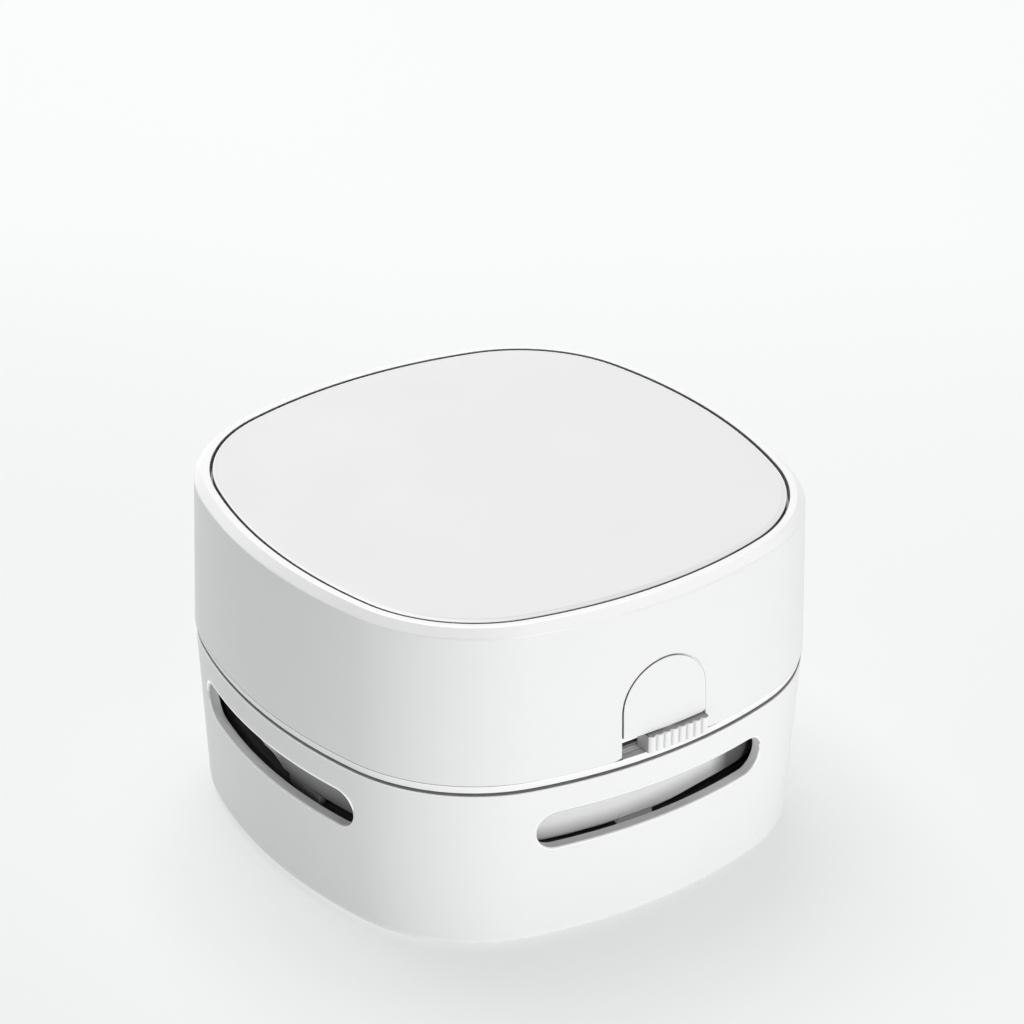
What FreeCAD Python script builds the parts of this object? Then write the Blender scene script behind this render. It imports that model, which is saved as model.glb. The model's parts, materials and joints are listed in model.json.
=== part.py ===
import FreeCAD, Part
import math
import os
import Sketcher

# Desktop mini vacuum cleaner: a rounded-square upper unit (motor, two cells, fan)
# that lifts off a rounded-square dust bin.  Millimetres, +Z up, origin at the
# centre of the resting plane.  The switch faces -Y.

V3 = FreeCAD.Vector
doc = FreeCAD.newDocument("desk_vacuum")

# ---------------------------------------------------------------- driving sizes
SIZES = [
    # outline: four wide side arcs and four corner arcs, tangent to each other
    ("side_bulge", 38.15, "side arc radius minus half width"),
    ("corner_drop", 16.5, "half width minus corner arc radius"),
    # heights
    ("foot_high", 0.8, "glide foot height"),
    ("bin_top", 28.2, "top edge of the bin shell"),
    ("unit_low", 28.7, "lower edge of the upper housing"),
    ("band_top", 30.1, "top of the bevelled lower band"),
    ("unit_top", 55.6, "rim of the upper housing"),
    # bin shell
    ("bin_half", 41.8, "half width at the foot of the bin"),
    ("bin_draft", 3.0, "bin wall draft, degrees"),
    ("bin_wall", 1.8, "bin wall"),
    ("bin_floor", 1.8, "bin floor"),
    ("bin_round", 1.6, "bin lower edge round"),
    ("mouth_rad", 25.0, "intake mouth in the floor"),
    ("slot_long", 41.2, "exhaust slot length"),
    ("slot_mid", 20.35, "exhaust slot centre height"),
    ("slot_rad", 3.12, "exhaust slot end radius"),
    # upper housing
    ("unit_half", 43.4, "half width at the top of the band"),
    ("unit_draft", 1.5, "upper wall draft, degrees"),
    ("band_draft", 14.0, "band bevel, degrees"),
    ("rim_bevel", 1.25, "rim chamfer"),
    ("unit_inner", 41.0, "half width of the cavity at its mouth"),
    ("deck_low", 51.6, "underside of the deck"),
    ("deck_top", 53.3, "top of the deck"),
    ("cover_seat", 40.35, "half width of the cover recess"),
    ("cover_half", 39.9, "half width of the top cover"),
    ("cover_low", 53.5, "underside of the top cover"),
    ("bay_half_x", 28.3, "battery bay half length"),
    ("bay_half_y", 28.4, "battery bay half width"),
    # switch
    ("arch_half", 7.6, "arched opening half width"),
    ("arch_mid", 37.6, "arch centre height"),
    ("pad_low", 33.25, "lower edge of the arched pad"),
    ("seam", 0.2, "seam round the arched pad"),
    ("flange_front", 41.9, "front of the panel flange, from the axis"),
    ("flange_back", 40.8, "back of the panel flange, from the axis"),
    ("tray_front", 41.0, "back wall of the knob's recess, from the axis"),
    ("tray_back", 39.9, "back of the knob's recess, from the axis"),
    ("knob_left", -3.55, "left end of the knob"),
    ("knob_long", 11.0, "knob length"),
    ("knob_high", 2.85, "knob height"),
    ("knob_front", 44.4, "knob face, from the axis"),
    ("slit_low", 30.8, "slit in the recess, lower edge"),
    ("slit_high", 31.4, "slit in the recess, upper edge"),
    # chassis and fan case
    ("chassis_low", 29.2, "underside of the chassis plate"),
    ("chassis_top", 31.0, "top of the chassis plate"),
    ("chassis_half", 40.7, "chassis half width"),
    ("case_half", 39.5, "fan case skirt half width"),
    ("case_wall", 1.4, "fan case wall"),
    ("case_low", 16.85, "fan case skirt lower edge, front left"),
    ("skirt_low", 17.5, "fan case skirt lower edge, all other sides"),
    ("case_flange", 26.2, "underside of the fan case flange"),
    ("case_deck", 27.4, "underside of the fan case deck"),
    # filter and seal
    ("filter_low", 14.6, "underside of the filter frame"),
    ("filter_top", 16.4, "top of the filter frame"),
    ("filter_rad", 29.0, "filter opening"),
    # dust cup
    ("cup_half", 39.2, "dust cup half width"),
    ("cup_floor", 4.0, "underside of the cup floor"),
    ("cup_top", 13.8, "top of the cup rim"),
    ("throat_rad", 11.7, "intake throat bore"),
    # motor and shaft
    ("shaft_rad", 1.0, "motor shaft"),
    ("can_rad", 12.2, "motor can"),
    ("can_top", 46.0, "open end of the motor can"),
    ("fan_rad", 27.0, "impeller"),
    # cells
    ("cell_rad", 7.1, "cell radius"),
    ("cell_long", 49.5, "cell body length"),
    ("cell_y", 20.8, "cell axis from the centre"),
    ("cell_z", 43.9, "cell axis height"),
    ("tray_low", 35.4, "underside of the battery tray"),
    ("boss_x", 36.5, "housing bosses, x"),
    ("boss_y", 12.0, "housing bosses, y"),
    ("post_xy", 24.0, "fan case screw posts"),
    ("ear_x", 18.0, "tray ears, x"),
    ("ear_y", 33.0, "tray ears, y"),
]
sheet = doc.addObject("Spreadsheet::Sheet", "Sizes")
VALUE = {}
for row, (alias, value, note) in enumerate(SIZES, start=1):
    sheet.set("A%d" % row, note)
    sheet.set("B%d" % row, str(value))
    sheet.setAlias("B%d" % row, alias)
    VALUE[alias] = float(value)
doc.recompute()


# a size that carries its number and the expression it is bound with
class Q:
    def __init__(self, v, e):
        self.v = float(v)
        self.e = e

    def __add__(self, o):
        o = q(o)
        return Q(self.v + o.v, "(%s + %s)" % (self.e, o.e))

    def __radd__(self, o):
        return q(o) + self

    def __sub__(self, o):
        o = q(o)
        return Q(self.v - o.v, "(%s - %s)" % (self.e, o.e))

    def __rsub__(self, o):
        return q(o) - self

    def __mul__(self, o):
        o = q(o)
        return Q(self.v * o.v, "(%s * %s)" % (self.e, o.e))

    def __rmul__(self, o):
        return q(o) * self

    def __truediv__(self, o):
        o = q(o)
        return Q(self.v / o.v, "(%s / %s)" % (self.e, o.e))

    def __neg__(self):
        return Q(-self.v, "(0 - %s)" % self.e)


def q(x):
    return x if isinstance(x, Q) else Q(x, "(%.6f)" % x if x < 0 else "%.6f" % x)


def P(alias):
    return Q(VALUE[alias], "Sizes." + alias)


def bind(obj, prop, x):
    obj.setExpression(prop, q(x).e)


def tan_of(deg):
    return Q(math.tan(math.radians(deg.v)), "tan(%s * 1deg)" % deg.e)


NODES = []


def node(obj, label):
    obj.Label = label
    NODES.append((label, obj))
    return obj


# ---------------------------------------------------------------- sketch helpers
def body(name):
    return doc.addObject("PartDesign::Body", name)


def sketch(b, name, plane, off=0.0):
    s = b.newObject("Sketcher::SketchObject", name)
    base = [f for f in b.Origin.OriginFeatures if f.Role == plane][0]
    s.AttachmentSupport = [(base, "")]
    s.MapMode = "FlatFace"
    s.AttachmentOffset = FreeCAD.Placement(V3(0, 0, q(off).v), FreeCAD.Rotation())
    bind(s, "AttachmentOffset.Base.z", off)
    return s


def datum(s, con, x):
    n = s.addConstraint(con)
    s.setExpression("Constraints[%d]" % n, q(x).e)


def place_point(s, geo, pos, x, y):
    x, y = q(x), q(y)
    for axis, val, ref in (("DistanceX", x, -2), ("DistanceY", y, -1)):
        if abs(val.v) < 1e-9:
            s.addConstraint(Sketcher.Constraint("PointOnObject", geo, pos, ref))
        elif val.v > 0:
            datum(s, Sketcher.Constraint(axis, -1, 1, geo, pos, val.v), val)
        else:
            datum(s, Sketcher.Constraint(axis, geo, pos, -1, 1, -val.v), -val)


def outline(s, half):
    """The rounded square: eight tangent arcs."""
    half = q(half)
    rs = half + P("side_bulge")
    rc = half - P("corner_drop")
    k = (half - rs).v
    big, small = rs.v, rc.v
    c = (2 * k + math.sqrt(4 * k * k - 8 * (k * k - (big - small) ** 2))) / 4
    a1 = math.atan2(c, c - k)
    a2 = math.pi / 2 - a1
    first = s.GeometryCount
    for i in range(4):
        t = i * math.pi / 2
        cs, sn = math.cos(t), math.sin(t)
        s.addGeometry(Part.ArcOfCircle(Part.Circle(V3(k * cs, k * sn, 0), V3(0, 0, 1), big),
                                       t - a1, t + a1), False)
        x, y = c * cs - c * sn, c * sn + c * cs
        s.addGeometry(Part.ArcOfCircle(Part.Circle(V3(x, y, 0), V3(0, 0, 1), small),
                                       t + a1, t + a2), False)
    for i in range(8):
        s.addConstraint(Sketcher.Constraint("Tangent", first + i, 2, first + (i + 1) % 8, 1))
    for i in range(4):
        g = first + 2 * i
        d = rs - half
        if i == 0:
            place_point(s, g, 3, -d, 0)
        elif i == 1:
            place_point(s, g, 3, 0, -d)
        elif i == 2:
            place_point(s, g, 3, d, 0)
        else:
            place_point(s, g, 3, 0, d)
        datum(s, Sketcher.Constraint("Radius", g, big), rs)
        datum(s, Sketcher.Constraint("Radius", g + 1, small), rc)


def circle(s, x, y, r):
    x, y, r = q(x), q(y), q(r)
    g = s.addGeometry(Part.Circle(V3(x.v, y.v, 0), V3(0, 0, 1), r.v), False)
    place_point(s, g, 3, x, y)
    datum(s, Sketcher.Constraint("Radius", g, r.v), r)


def rect(s, x0, x1, y0, y1):
    x0, x1, y0, y1 = q(x0), q(x1), q(y0), q(y1)
    pts = [V3(x0.v, y0.v, 0), V3(x1.v, y0.v, 0), V3(x1.v, y1.v, 0), V3(x0.v, y1.v, 0)]
    g = s.GeometryCount
    for i in range(4):
        s.addGeometry(Part.LineSegment(pts[i], pts[(i + 1) % 4]), False)
    for i in range(4):
        s.addConstraint(Sketcher.Constraint("Coincident", g + i, 2, g + (i + 1) % 4, 1))
    s.addConstraint(Sketcher.Constraint("Horizontal", g))
    s.addConstraint(Sketcher.Constraint("Horizontal", g + 2))
    s.addConstraint(Sketcher.Constraint("Vertical", g + 1))
    s.addConstraint(Sketcher.Constraint("Vertical", g + 3))
    place_point(s, g, 1, x0, y0)
    place_point(s, g + 2, 1, x1, y1)


def polygon(s, pts):
    g = s.GeometryCount
    for i, (x, y) in enumerate(pts):
        u, v = pts[(i + 1) % len(pts)]
        s.addGeometry(Part.LineSegment(V3(x, y, 0), V3(u, v, 0)), False)
    for i in range(len(pts)):
        s.addConstraint(Sketcher.Constraint("Block", g + i))


def stadium(s, x0, x1, yc, r):
    """A slot with round ends, lying along the sketch's x."""
    x0, x1, yc, r = q(x0), q(x1), q(yc), q(r)
    xl, xr = x0 + r, x1 - r
    g = s.GeometryCount
    s.addGeometry(Part.ArcOfCircle(Part.Circle(V3(xr.v, yc.v, 0), V3(0, 0, 1), r.v),
                                   -math.pi / 2, math.pi / 2), False)
    s.addGeometry(Part.LineSegment(V3(xr.v, yc.v + r.v, 0), V3(xl.v, yc.v + r.v, 0)), False)
    s.addGeometry(Part.ArcOfCircle(Part.Circle(V3(xl.v, yc.v, 0), V3(0, 0, 1), r.v),
                                   math.pi / 2, 3 * math.pi / 2), False)
    s.addGeometry(Part.LineSegment(V3(xl.v, yc.v - r.v, 0), V3(xr.v, yc.v - r.v, 0)), False)
    for i in range(4):
        s.addConstraint(Sketcher.Constraint("Tangent", g + i, 2, g + (i + 1) % 4, 1))
    s.addConstraint(Sketcher.Constraint("Horizontal", g + 1))
    datum(s, Sketcher.Constraint("Radius", g, r.v), r)
    place_point(s, g, 3, xr, yc)
    if abs(xl.v) > 1e-9:
        if xl.v > 0:
            datum(s, Sketcher.Constraint("DistanceX", -1, 1, g + 2, 3, xl.v), xl)
        else:
            datum(s, Sketcher.Constraint("DistanceX", g + 2, 3, -1, 1, -xl.v), -xl)


def arch(s, half, low, mid):
    """A straight foot and sides under a half circle."""
    half, low, mid = q(half), q(low), q(mid)
    g = s.GeometryCount
    s.addGeometry(Part.LineSegment(V3(-half.v, low.v, 0), V3(half.v, low.v, 0)), False)
    s.addGeometry(Part.LineSegment(V3(half.v, low.v, 0), V3(half.v, mid.v, 0)), False)
    s.addGeometry(Part.ArcOfCircle(Part.Circle(V3(0, mid.v, 0), V3(0, 0, 1), half.v), 0, math.pi), False)
    s.addGeometry(Part.LineSegment(V3(-half.v, mid.v, 0), V3(-half.v, low.v, 0)), False)
    s.addConstraint(Sketcher.Constraint("Coincident", g, 2, g + 1, 1))
    s.addConstraint(Sketcher.Constraint("Tangent", g + 1, 2, g + 2, 1))
    s.addConstraint(Sketcher.Constraint("Tangent", g + 2, 2, g + 3, 1))
    s.addConstraint(Sketcher.Constraint("Coincident", g + 3, 2, g, 1))
    s.addConstraint(Sketcher.Constraint("Horizontal", g))
    s.addConstraint(Sketcher.Constraint("Vertical", g + 1))
    place_point(s, g + 2, 3, 0, mid)
    datum(s, Sketcher.Constraint("Radius", g + 2, half.v), half)
    datum(s, Sketcher.Constraint("DistanceY", -1, 1, g, 1, low.v), low)


def _extent(f, length, reverse, taper, symmetric):
    f.Length = q(length).v
    bind(f, "Length", length)
    f.Reversed = reverse
    if symmetric:
        if "SideType" in f.PropertiesList:
            f.SideType = "Symmetric"
        else:
            f.Midplane = True
    if taper is not None:
        f.TaperAngle = q(taper).v
        bind(f, "TaperAngle", taper)


def pad(b, s, length, reverse=False, taper=None, symmetric=False):
    f = b.newObject("PartDesign::Pad", "Pad")
    f.Profile = s
    _extent(f, length, reverse, taper, symmetric)
    s.Visibility = False
    doc.recompute()
    return f


def pocket(b, s, length, reverse=False, taper=None, symmetric=False):
    before = b.Shape.Volume
    f = b.newObject("PartDesign::Pocket", "Pocket")
    f.Profile = s
    _extent(f, length, reverse, taper, symmetric)
    s.Visibility = False
    doc.recompute()
    if not b.Shape.Volume < before - 1e-3:
        raise RuntimeError("pocket cut nothing: %s %s" % (b.Name, s.Name))
    return f


def edges_at(shape, test):
    out = []
    for i, e in enumerate(shape.Edges, start=1):
        if test(e):
            out.append("Edge%d" % i)
    return out


def flat_at(z, tol=0.01):
    return lambda e: abs(e.BoundBox.ZMin - z) < tol and abs(e.BoundBox.ZMax - z) < tol


def outer_edge(z, reach):
    """Edges lying at height z whose points stay beyond the given reach from the axis."""
    def test(e):
        if not flat_at(z)(e):
            return False
        m = e.valueAt((e.FirstParameter + e.LastParameter) / 2)
        return math.hypot(m.x, m.y) > reach
    return test


def dress(b, kind, test, size):
    base = b.Tip
    names = edges_at(base.Shape, test)
    if not names:
        raise RuntimeError("no edges for %s on %s" % (kind, b.Name))
    f = b.newObject("PartDesign::" + kind, kind)
    f.Base = (base, names)
    prop = "Radius" if kind == "Fillet" else "Size"
    setattr(f, prop, q(size).v)
    bind(f, prop, size)
    doc.recompute()
    return f


# ---------------------------------------------------------------- solid helpers
def at(obj, x, y, z, rot=None):
    x, y, z = q(x), q(y), q(z)
    obj.Placement = FreeCAD.Placement(V3(x.v, y.v, z.v), rot or FreeCAD.Rotation())
    for axis, val in (("x", x), ("y", y), ("z", z)):
        bind(obj, "Placement.Base." + axis, val)
    return obj


def cyl(r, length, x, y, z, rot=None, name="Cyl"):
    o = doc.addObject("Part::Cylinder", name)
    bind(o, "Radius", r)
    bind(o, "Height", length)
    return at(o, x, y, z, rot)


def cone(r0, r1, length, x, y, z, rot=None, name="Cone"):
    o = doc.addObject("Part::Cone", name)
    bind(o, "Radius1", r0)
    bind(o, "Radius2", r1)
    bind(o, "Height", length)
    return at(o, x, y, z, rot)


def box(x0, x1, y0, y1, z0, z1, name="Box"):
    x0, x1, y0, y1, z0, z1 = [q(v) for v in (x0, x1, y0, y1, z0, z1)]
    o = doc.addObject("Part::Box", name)
    bind(o, "Length", x1 - x0)
    bind(o, "Width", y1 - y0)
    bind(o, "Height", z1 - z0)
    return at(o, x0, y0, z0)


def cut(a, *tools):
    for t in tools:
        c = doc.addObject("Part::Cut", "Cut")
        c.Base, c.Tool = a, t
        a = c
    return a


def fuse(*items):
    f = doc.addObject("Part::MultiFuse", "Fuse")
    f.Shapes = list(items)
    return f


def group(*items):
    """Separate solids that share one node."""
    c = doc.addObject("Part::Compound", "Group")
    c.Links = list(items)
    return c


ALONG_X = FreeCAD.Rotation(V3(0, 1, 0), 90)
UPSIDE = FreeCAD.Rotation(V3(1, 0, 0), 180)


def screw(x, y, z, head_r, head_h, shank_r, shank_l, down=False):
    """Pan head under z (shank up), or above z (shank down), with a cross recess."""
    x, y, z = q(x), q(y), q(z)
    if down:
        head = cyl(head_r, head_h, x, y, z)
        shank = cyl(shank_r, shank_l, x, y, z - shank_l)
        zc = z + head_h
        slots = [box(x - head_r * 0.62, x + head_r * 0.62, y - 0.2, y + 0.2, zc - 0.5, zc + 0.1),
                 box(x - 0.2, x + 0.2, y - head_r * 0.62, y + head_r * 0.62, zc - 0.5, zc + 0.1)]
    else:
        head = cyl(head_r, head_h, x, y, z - head_h)
        shank = cyl(shank_r, shank_l, x, y, z)
        zc = z - head_h
        slots = [box(x - head_r * 0.62, x + head_r * 0.62, y - 0.2, y + 0.2, zc - 0.1, zc + 0.5),
                 box(x - 0.2, x + 0.2, y - head_r * 0.62, y + head_r * 0.62, zc - 0.1, zc + 0.5)]
    return cut(fuse(head, shank), *slots)


# ================================================================ DUST BIN
bin_low = P("foot_high")
floor_top = bin_low + P("bin_floor")

# bin shell: drafted wall, floor with the intake mouth, an exhaust slot in each side
b = body("BinShell")
s = sketch(b, "BinFoot", "XY_Plane", bin_low)
outline(s, P("bin_half"))
pad(b, s, P("bin_top") - bin_low, taper=P("bin_draft"))
dress(b, "Fillet", outer_edge(bin_low.v, 30.0), P("bin_round"))
s = sketch(b, "BinCavity", "XY_Plane", floor_top)
outline(s, P("bin_half") + P("bin_floor") * tan_of(P("bin_draft")) - P("bin_wall"))
pocket(b, s, P("bin_top") - floor_top + 0.01, reverse=True, taper=P("bin_draft"))
s = sketch(b, "BinMouth", "XY_Plane", floor_top)
circle(s, 0, 0, P("mouth_rad"))
pocket(b, s, P("bin_floor") + 1.0)
for nm, plane in (("SlotsFrontBack", "XZ_Plane"), ("SlotsSides", "YZ_Plane")):
    s = sketch(b, nm, plane, 0)
    stadium(s, -(P("slot_long") / 2), P("slot_long") / 2, P("slot_mid"), P("slot_rad"))
    pocket(b, s, 120.0, symmetric=True)
dress(b, "Chamfer", outer_edge(P("bin_top").v, 42.9), 0.25)
node(b, "bin_shell")

# nozzle plate inside the mouth: carries the bristles round the intake
nozzle = cut(cyl(28.0, P("cup_floor") - floor_top, 0, 0, floor_top),
             cyl(P("throat_rad"), 4.0, 0, 0, floor_top - 1.0))
lip = cut(cyl(24.4, 0.7, 0, 0, floor_top - 0.7), cyl(20.6, 2.0, 0, 0, floor_top - 1.4))
ring_lip = cut(cyl(13.3, 1.3, 0, 0, floor_top - 1.3), cyl(P("throat_rad"), 3.0, 0, 0, floor_top - 2.0))
SCREW_R = 16.6
holes = [cyl(1.15, 4.0, SCREW_R * math.cos(math.radians(a)), SCREW_R * math.sin(math.radians(a)),
             floor_top - 1.0) for a in (90, 210, 330)]
NTUFT = 40
nozzle = cut(fuse(nozzle, lip, ring_lip), *holes)
node(nozzle, "nozzle_plate")

# bristles: one ring of tufts round the intake, tips just above the desk
tufts = []
for i in range(NTUFT):
    a = 2 * math.pi * i / NTUFT
    tufts.append(cyl(0.75, floor_top - 0.7 - 0.15, 22.5 * math.cos(a), 22.5 * math.sin(a), 0.15, name="Tuft"))
node(group(*tufts), "intake_bristles")

# dust cup: liner with the rising throat, its rim is the sealing face
b = body("DustCup")
cup_low = P("cup_floor")
s = sketch(b, "CupOuter", "XY_Plane", cup_low)
outline(s, P("cup_half"))
pad(b, s, P("cup_top") - cup_low)
s = sketch(b, "CupRim", "XY_Plane", P("cup_top") - 1.2)
outline(s, P("cup_half") + 1.1)
pad(b, s, 1.2)
s = sketch(b, "CupCavity", "XY_Plane", cup_low + 1.2)
outline(s, P("cup_half") - 1.3)
pocket(b, s, P("cup_top") - cup_low, reverse=True)
s = sketch(b, "CupThroat", "XY_Plane", cup_low)
circle(s, 0, 0, P("throat_rad") + 1.3)
pad(b, s, 8.0)
s = sketch(b, "CupPosts", "XY_Plane", cup_low)
for a in (90, 210, 330):
    circle(s, SCREW_R * math.cos(math.radians(a)), SCREW_R * math.sin(math.radians(a)), 2.4)
pad(b, s, 5.6)
s = sketch(b, "CupBore", "XY_Plane", cup_low)
circle(s, 0, 0, P("throat_rad"))
pocket(b, s, 20.0, reverse=True)
s = sketch(b, "CupPilots", "XY_Plane", cup_low)
for a in (90, 210, 330):
    circle(s, SCREW_R * math.cos(math.radians(a)), SCREW_R * math.sin(math.radians(a)), 0.9)
pocket(b, s, 4.6, reverse=True)
node(b, "dust_cup")

node(group(*[screw(SCREW_R * math.cos(math.radians(a)), SCREW_R * math.sin(math.radians(a)),
                   floor_top, 1.8, 1.0, 0.9, 5.6) for a in (90, 210, 330)]), "nozzle_screws")

# glide feet
feet = []
for sx in (-1, 1):
    for sy in (-1, 1):
        feet.append(fuse(cyl(3.6, P("foot_high") - 0.25, 28.0 * sx, 28.0 * sy, 0.25),
                         cone(3.3, 3.6, 0.25, 28.0 * sx, 28.0 * sy, 0)))
node(group(*feet), "glide_feet")

# ================================================================ FILTER AND SEAL
b = body("BinSeal")
s = sketch(b, "SealRing", "XY_Plane", P("cup_top"))
outline(s, P("cup_half") + 0.6)
outline(s, P("cup_half") - 1.6)
pad(b, s, P("filter_low") - P("cup_top"))
node(b, "bin_seal")

b = body("FilterFrame")
s = sketch(b, "FrameOuter", "XY_Plane", P("filter_low"))
outline(s, P("case_half") - 0.2)
pad(b, s, P("filter_top") - P("filter_low"))
s = sketch(b, "FrameSpigot", "XY_Plane", P("filter_top"))
outline(s, P("case_half") - P("case_wall") - 0.3)
pad(b, s, 1.0)
s = sketch(b, "FrameDish", "XY_Plane", P("filter_top"))
outline(s, P("case_half") - P("case_wall") - 1.5)
pocket(b, s, 1.2, reverse=True)
s = sketch(b, "FrameReliefs", "XY_Plane", P("filter_top"))
rect(s, -5.6, 1.2, -46.0, -(P("case_half") - P("case_wall") - 0.3))
rect(s, -46.0, -(P("case_half") - P("case_wall") - 0.3), -10.5, -1.6)
pocket(b, s, 1.2)
s = sketch(b, "FrameBore", "XY_Plane", P("filter_low") + 0.4)
circle(s, 0, 0, P("filter_rad"))
pocket(b, s, 6.0, reverse=True)
s = sketch(b, "FrameMouth", "XY_Plane", P("filter_low") + 0.4)
circle(s, 0, 0, P("filter_rad") - 1.6)
pocket(b, s, 2.0)
node(b, "filter_frame")

node(cyl(P("filter_rad") - 0.2, 0.4, 0, 0, P("filter_low") + 0.4), "filter_mesh")
node(cyl(P("filter_rad") - 0.3, 2.2, 0, 0, P("filter_low") + 0.8), "filter_sponge")

# ================================================================ FAN CASE
b = body("FanCase")
s = sketch(b, "CaseSkirt", "XY_Plane", P("case_low"))
outline(s, P("case_half"))
pad(b, s, P("chassis_low") - P("case_low"))
s = sketch(b, "CaseFlange", "XY_Plane", P("case_flange"))
outline(s, P("chassis_half"))
pad(b, s, P("chassis_low") - P("case_flange"))
s = sketch(b, "CaseCavity", "XY_Plane", P("case_deck"))
outline(s, P("case_half") - P("case_wall"))
pocket(b, s, P("case_deck") - P("case_low") + 1.0)
# the skirt's edge climbs to the right of the front lug and stays high round the other sides
s = sketch(b, "SkirtRise", "XZ_Plane", 30.0)
polygon(s, [(2.2, 14.0), (2.2, P("case_low").v), (5.5, 17.1), (9.0, 17.4), (12.0, P("skirt_low").v),
            (60.0, P("skirt_low").v), (60.0, 14.0)])
pocket(b, s, 30.0, reverse=True)
s = sketch(b, "SkirtHigh", "XY_Plane", P("skirt_low"))
polygon(s, [(-60, -60), (-24, -60), (-24, -30), (60, -30), (60, 60), (-60, 60)])
pocket(b, s, 3.0)
# a lug under the front edge and one under the left edge, joined to the skirt
s = sketch(b, "CaseLugs", "XY_Plane", P("case_low") - 0.95)
rect(s, -5.3, 0.9, -(P("case_half") - 0.1), -(P("case_half") - P("case_wall") + 0.1))
rect(s, -(P("case_half") - 0.1), -(P("case_half") - P("case_wall") + 0.1), -10.2, -1.9)
pad(b, s, P("skirt_low") - P("case_low") + 1.05)
# outlets through the skirt, one to each side
for nm, m in (("OutletLeft", 1), ("OutletRight", -1)):
    # rounded at one end, its roof climbing along the scroll, open at the foot
    s = sketch(b, nm, "YZ_Plane", 0)
    foot = P("case_low").v - 1.25
    a0, a1, a2 = V3(-2.3 * m, foot, 0), V3(0.6 * m, foot + 2.4, 0), V3(5.2 * m, foot + 3.1, 0)
    a3, a4 = V3(26.0 * m, foot + 7.4, 0), V3(26.0 * m, foot, 0)
    s.addGeometry(Part.Arc(a0, a1, a2), False)
    s.addGeometry(Part.LineSegment(a2, a3), False)
    s.addGeometry(Part.LineSegment(a3, a4), False)
    s.addGeometry(Part.LineSegment(a4, a0), False)
    for i in range(4):
        s.addConstraint(Sketcher.Constraint("Block", i))
    pocket(b, s, 60.0, reverse=(m < 0))
s = sketch(b, "CaseHub", "XY_Plane", P("chassis_low"))
circle(s, 0, 0, 11.5)
pocket(b, s, 4.0)
s = sketch(b, "CaseHoles", "XY_Plane", P("chassis_low"))
for sx in (-1, 1):
    for sy in (-1, 1):
        circle(s, P("post_xy") * sx, P("post_xy") * sy, 1.25)
pocket(b, s, 4.0)
node(b, "fan_case")

node(group(*[screw(P("post_xy") * sx, P("post_xy") * sy, P("case_deck"), 2.0, 1.1, 1.0, 6.2)
             for sx in (-1, 1) for sy in (-1, 1)]), "case_screws")

# ================================================================ CHASSIS
b = body("Chassis")
s = sketch(b, "ChassisPlate", "XY_Plane", P("chassis_low"))
outline(s, P("chassis_half"))
pad(b, s, P("chassis_top") - P("chassis_low"))
s = sketch(b, "ChassisCollar", "XY_Plane", P("chassis_top"))
circle(s, 0, 0, P("can_rad") + 1.5)
circle(s, 0, 0, P("can_rad") + 0.1)
pad(b, s, 3.4)
s = sketch(b, "ChassisPosts", "XY_Plane", P("chassis_top"))
for sx in (-1, 1):
    for sy in (-1, 1):
        circle(s, P("post_xy") * sx, P("post_xy") * sy, 2.6)
pad(b, s, 3.6)
s = sketch(b, "ChassisHub", "XY_Plane", P("chassis_top"))
circle(s, 0, 0, 3.2)
for sx in (-1, 1):
    circle(s, 8.5 * sx, 0, 1.15)
pocket(b, s, 4.0)
s = sketch(b, "ChassisPilots", "XY_Plane", P("chassis_low"))
for sx in (-1, 1):
    for sy in (-1, 1):
        circle(s, P("post_xy") * sx, P("post_xy") * sy, 1.0)
pocket(b, s, 4.6, reverse=True)
s = sketch(b, "ChassisSink", "XY_Plane", P("chassis_low"))
for sx in (-1, 1):
    for sy in (-1, 1):
        circle(s, P("boss_x") * sx, P("boss_y") * sy, 2.3)
pocket(b, s, 1.2, reverse=True)
s = sketch(b, "ChassisHoles", "XY_Plane", P("chassis_top"))
for sx in (-1, 1):
    for sy in (-1, 1):
        circle(s, P("boss_x") * sx, P("boss_y") * sy, 1.25)
pocket(b, s, 4.0)
# notch that clears the switch panel's flange
s = sketch(b, "ChassisNotch", "XY_Plane", P("chassis_top"))
rect(s, -12.0, 12.0, -46.0, -(P("flange_back") - 0.5))
pocket(b, s, 4.0)
# notch that clears the panel's recess, and a shallow track for the knob's tongue and fork
s = sketch(b, "RecessNotch", "XY_Plane", P("chassis_top"))
rect(s, -9.2, 9.2, -46.0, -(P("tray_back") - 0.5))
pocket(b, s, 4.0)
s = sketch(b, "TongueTrack", "XY_Plane", P("chassis_top"))
rect(s, -7.4, 8.0, -44.0, -(P("flange_back") - 3.8))
pocket(b, s, 0.5)
node(b, "chassis")

node(group(*[screw(P("boss_x") * sx, P("boss_y") * sy, P("chassis_low") + 1.2, 2.1, 1.1, 1.0, 8.0)
             for sx in (-1, 1) for sy in (-1, 1)]), "chassis_screws")

# ================================================================ UPPER HOUSING
b = body("UpperHousing")
s = sketch(b, "HousingWall", "XY_Plane", P("band_top"))
outline(s, P("unit_half"))
pad(b, s, P("unit_top") - P("band_top"), taper=-P("unit_draft"))
s = sketch(b, "HousingBand", "XY_Plane", P("band_top"))
outline(s, P("unit_half"))
pad(b, s, P("band_top") - P("unit_low"), reverse=True, taper=-P("band_draft"))
dress(b, "Chamfer", outer_edge(P("unit_top").v, 30.0), P("rim_bevel"))
s = sketch(b, "CoverSeat", "XY_Plane", P("unit_top"))
outline(s, P("cover_seat"))
pocket(b, s, P("unit_top") - P("deck_top"))
s = sketch(b, "HousingCavity", "XY_Plane", P("unit_low"))
outline(s, P("unit_inner"))
pocket(b, s, P("deck_low") - P("unit_low"), reverse=True, taper=-P("unit_draft"))
s = sketch(b, "BatteryBay", "XY_Plane", P("deck_top"))
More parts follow.
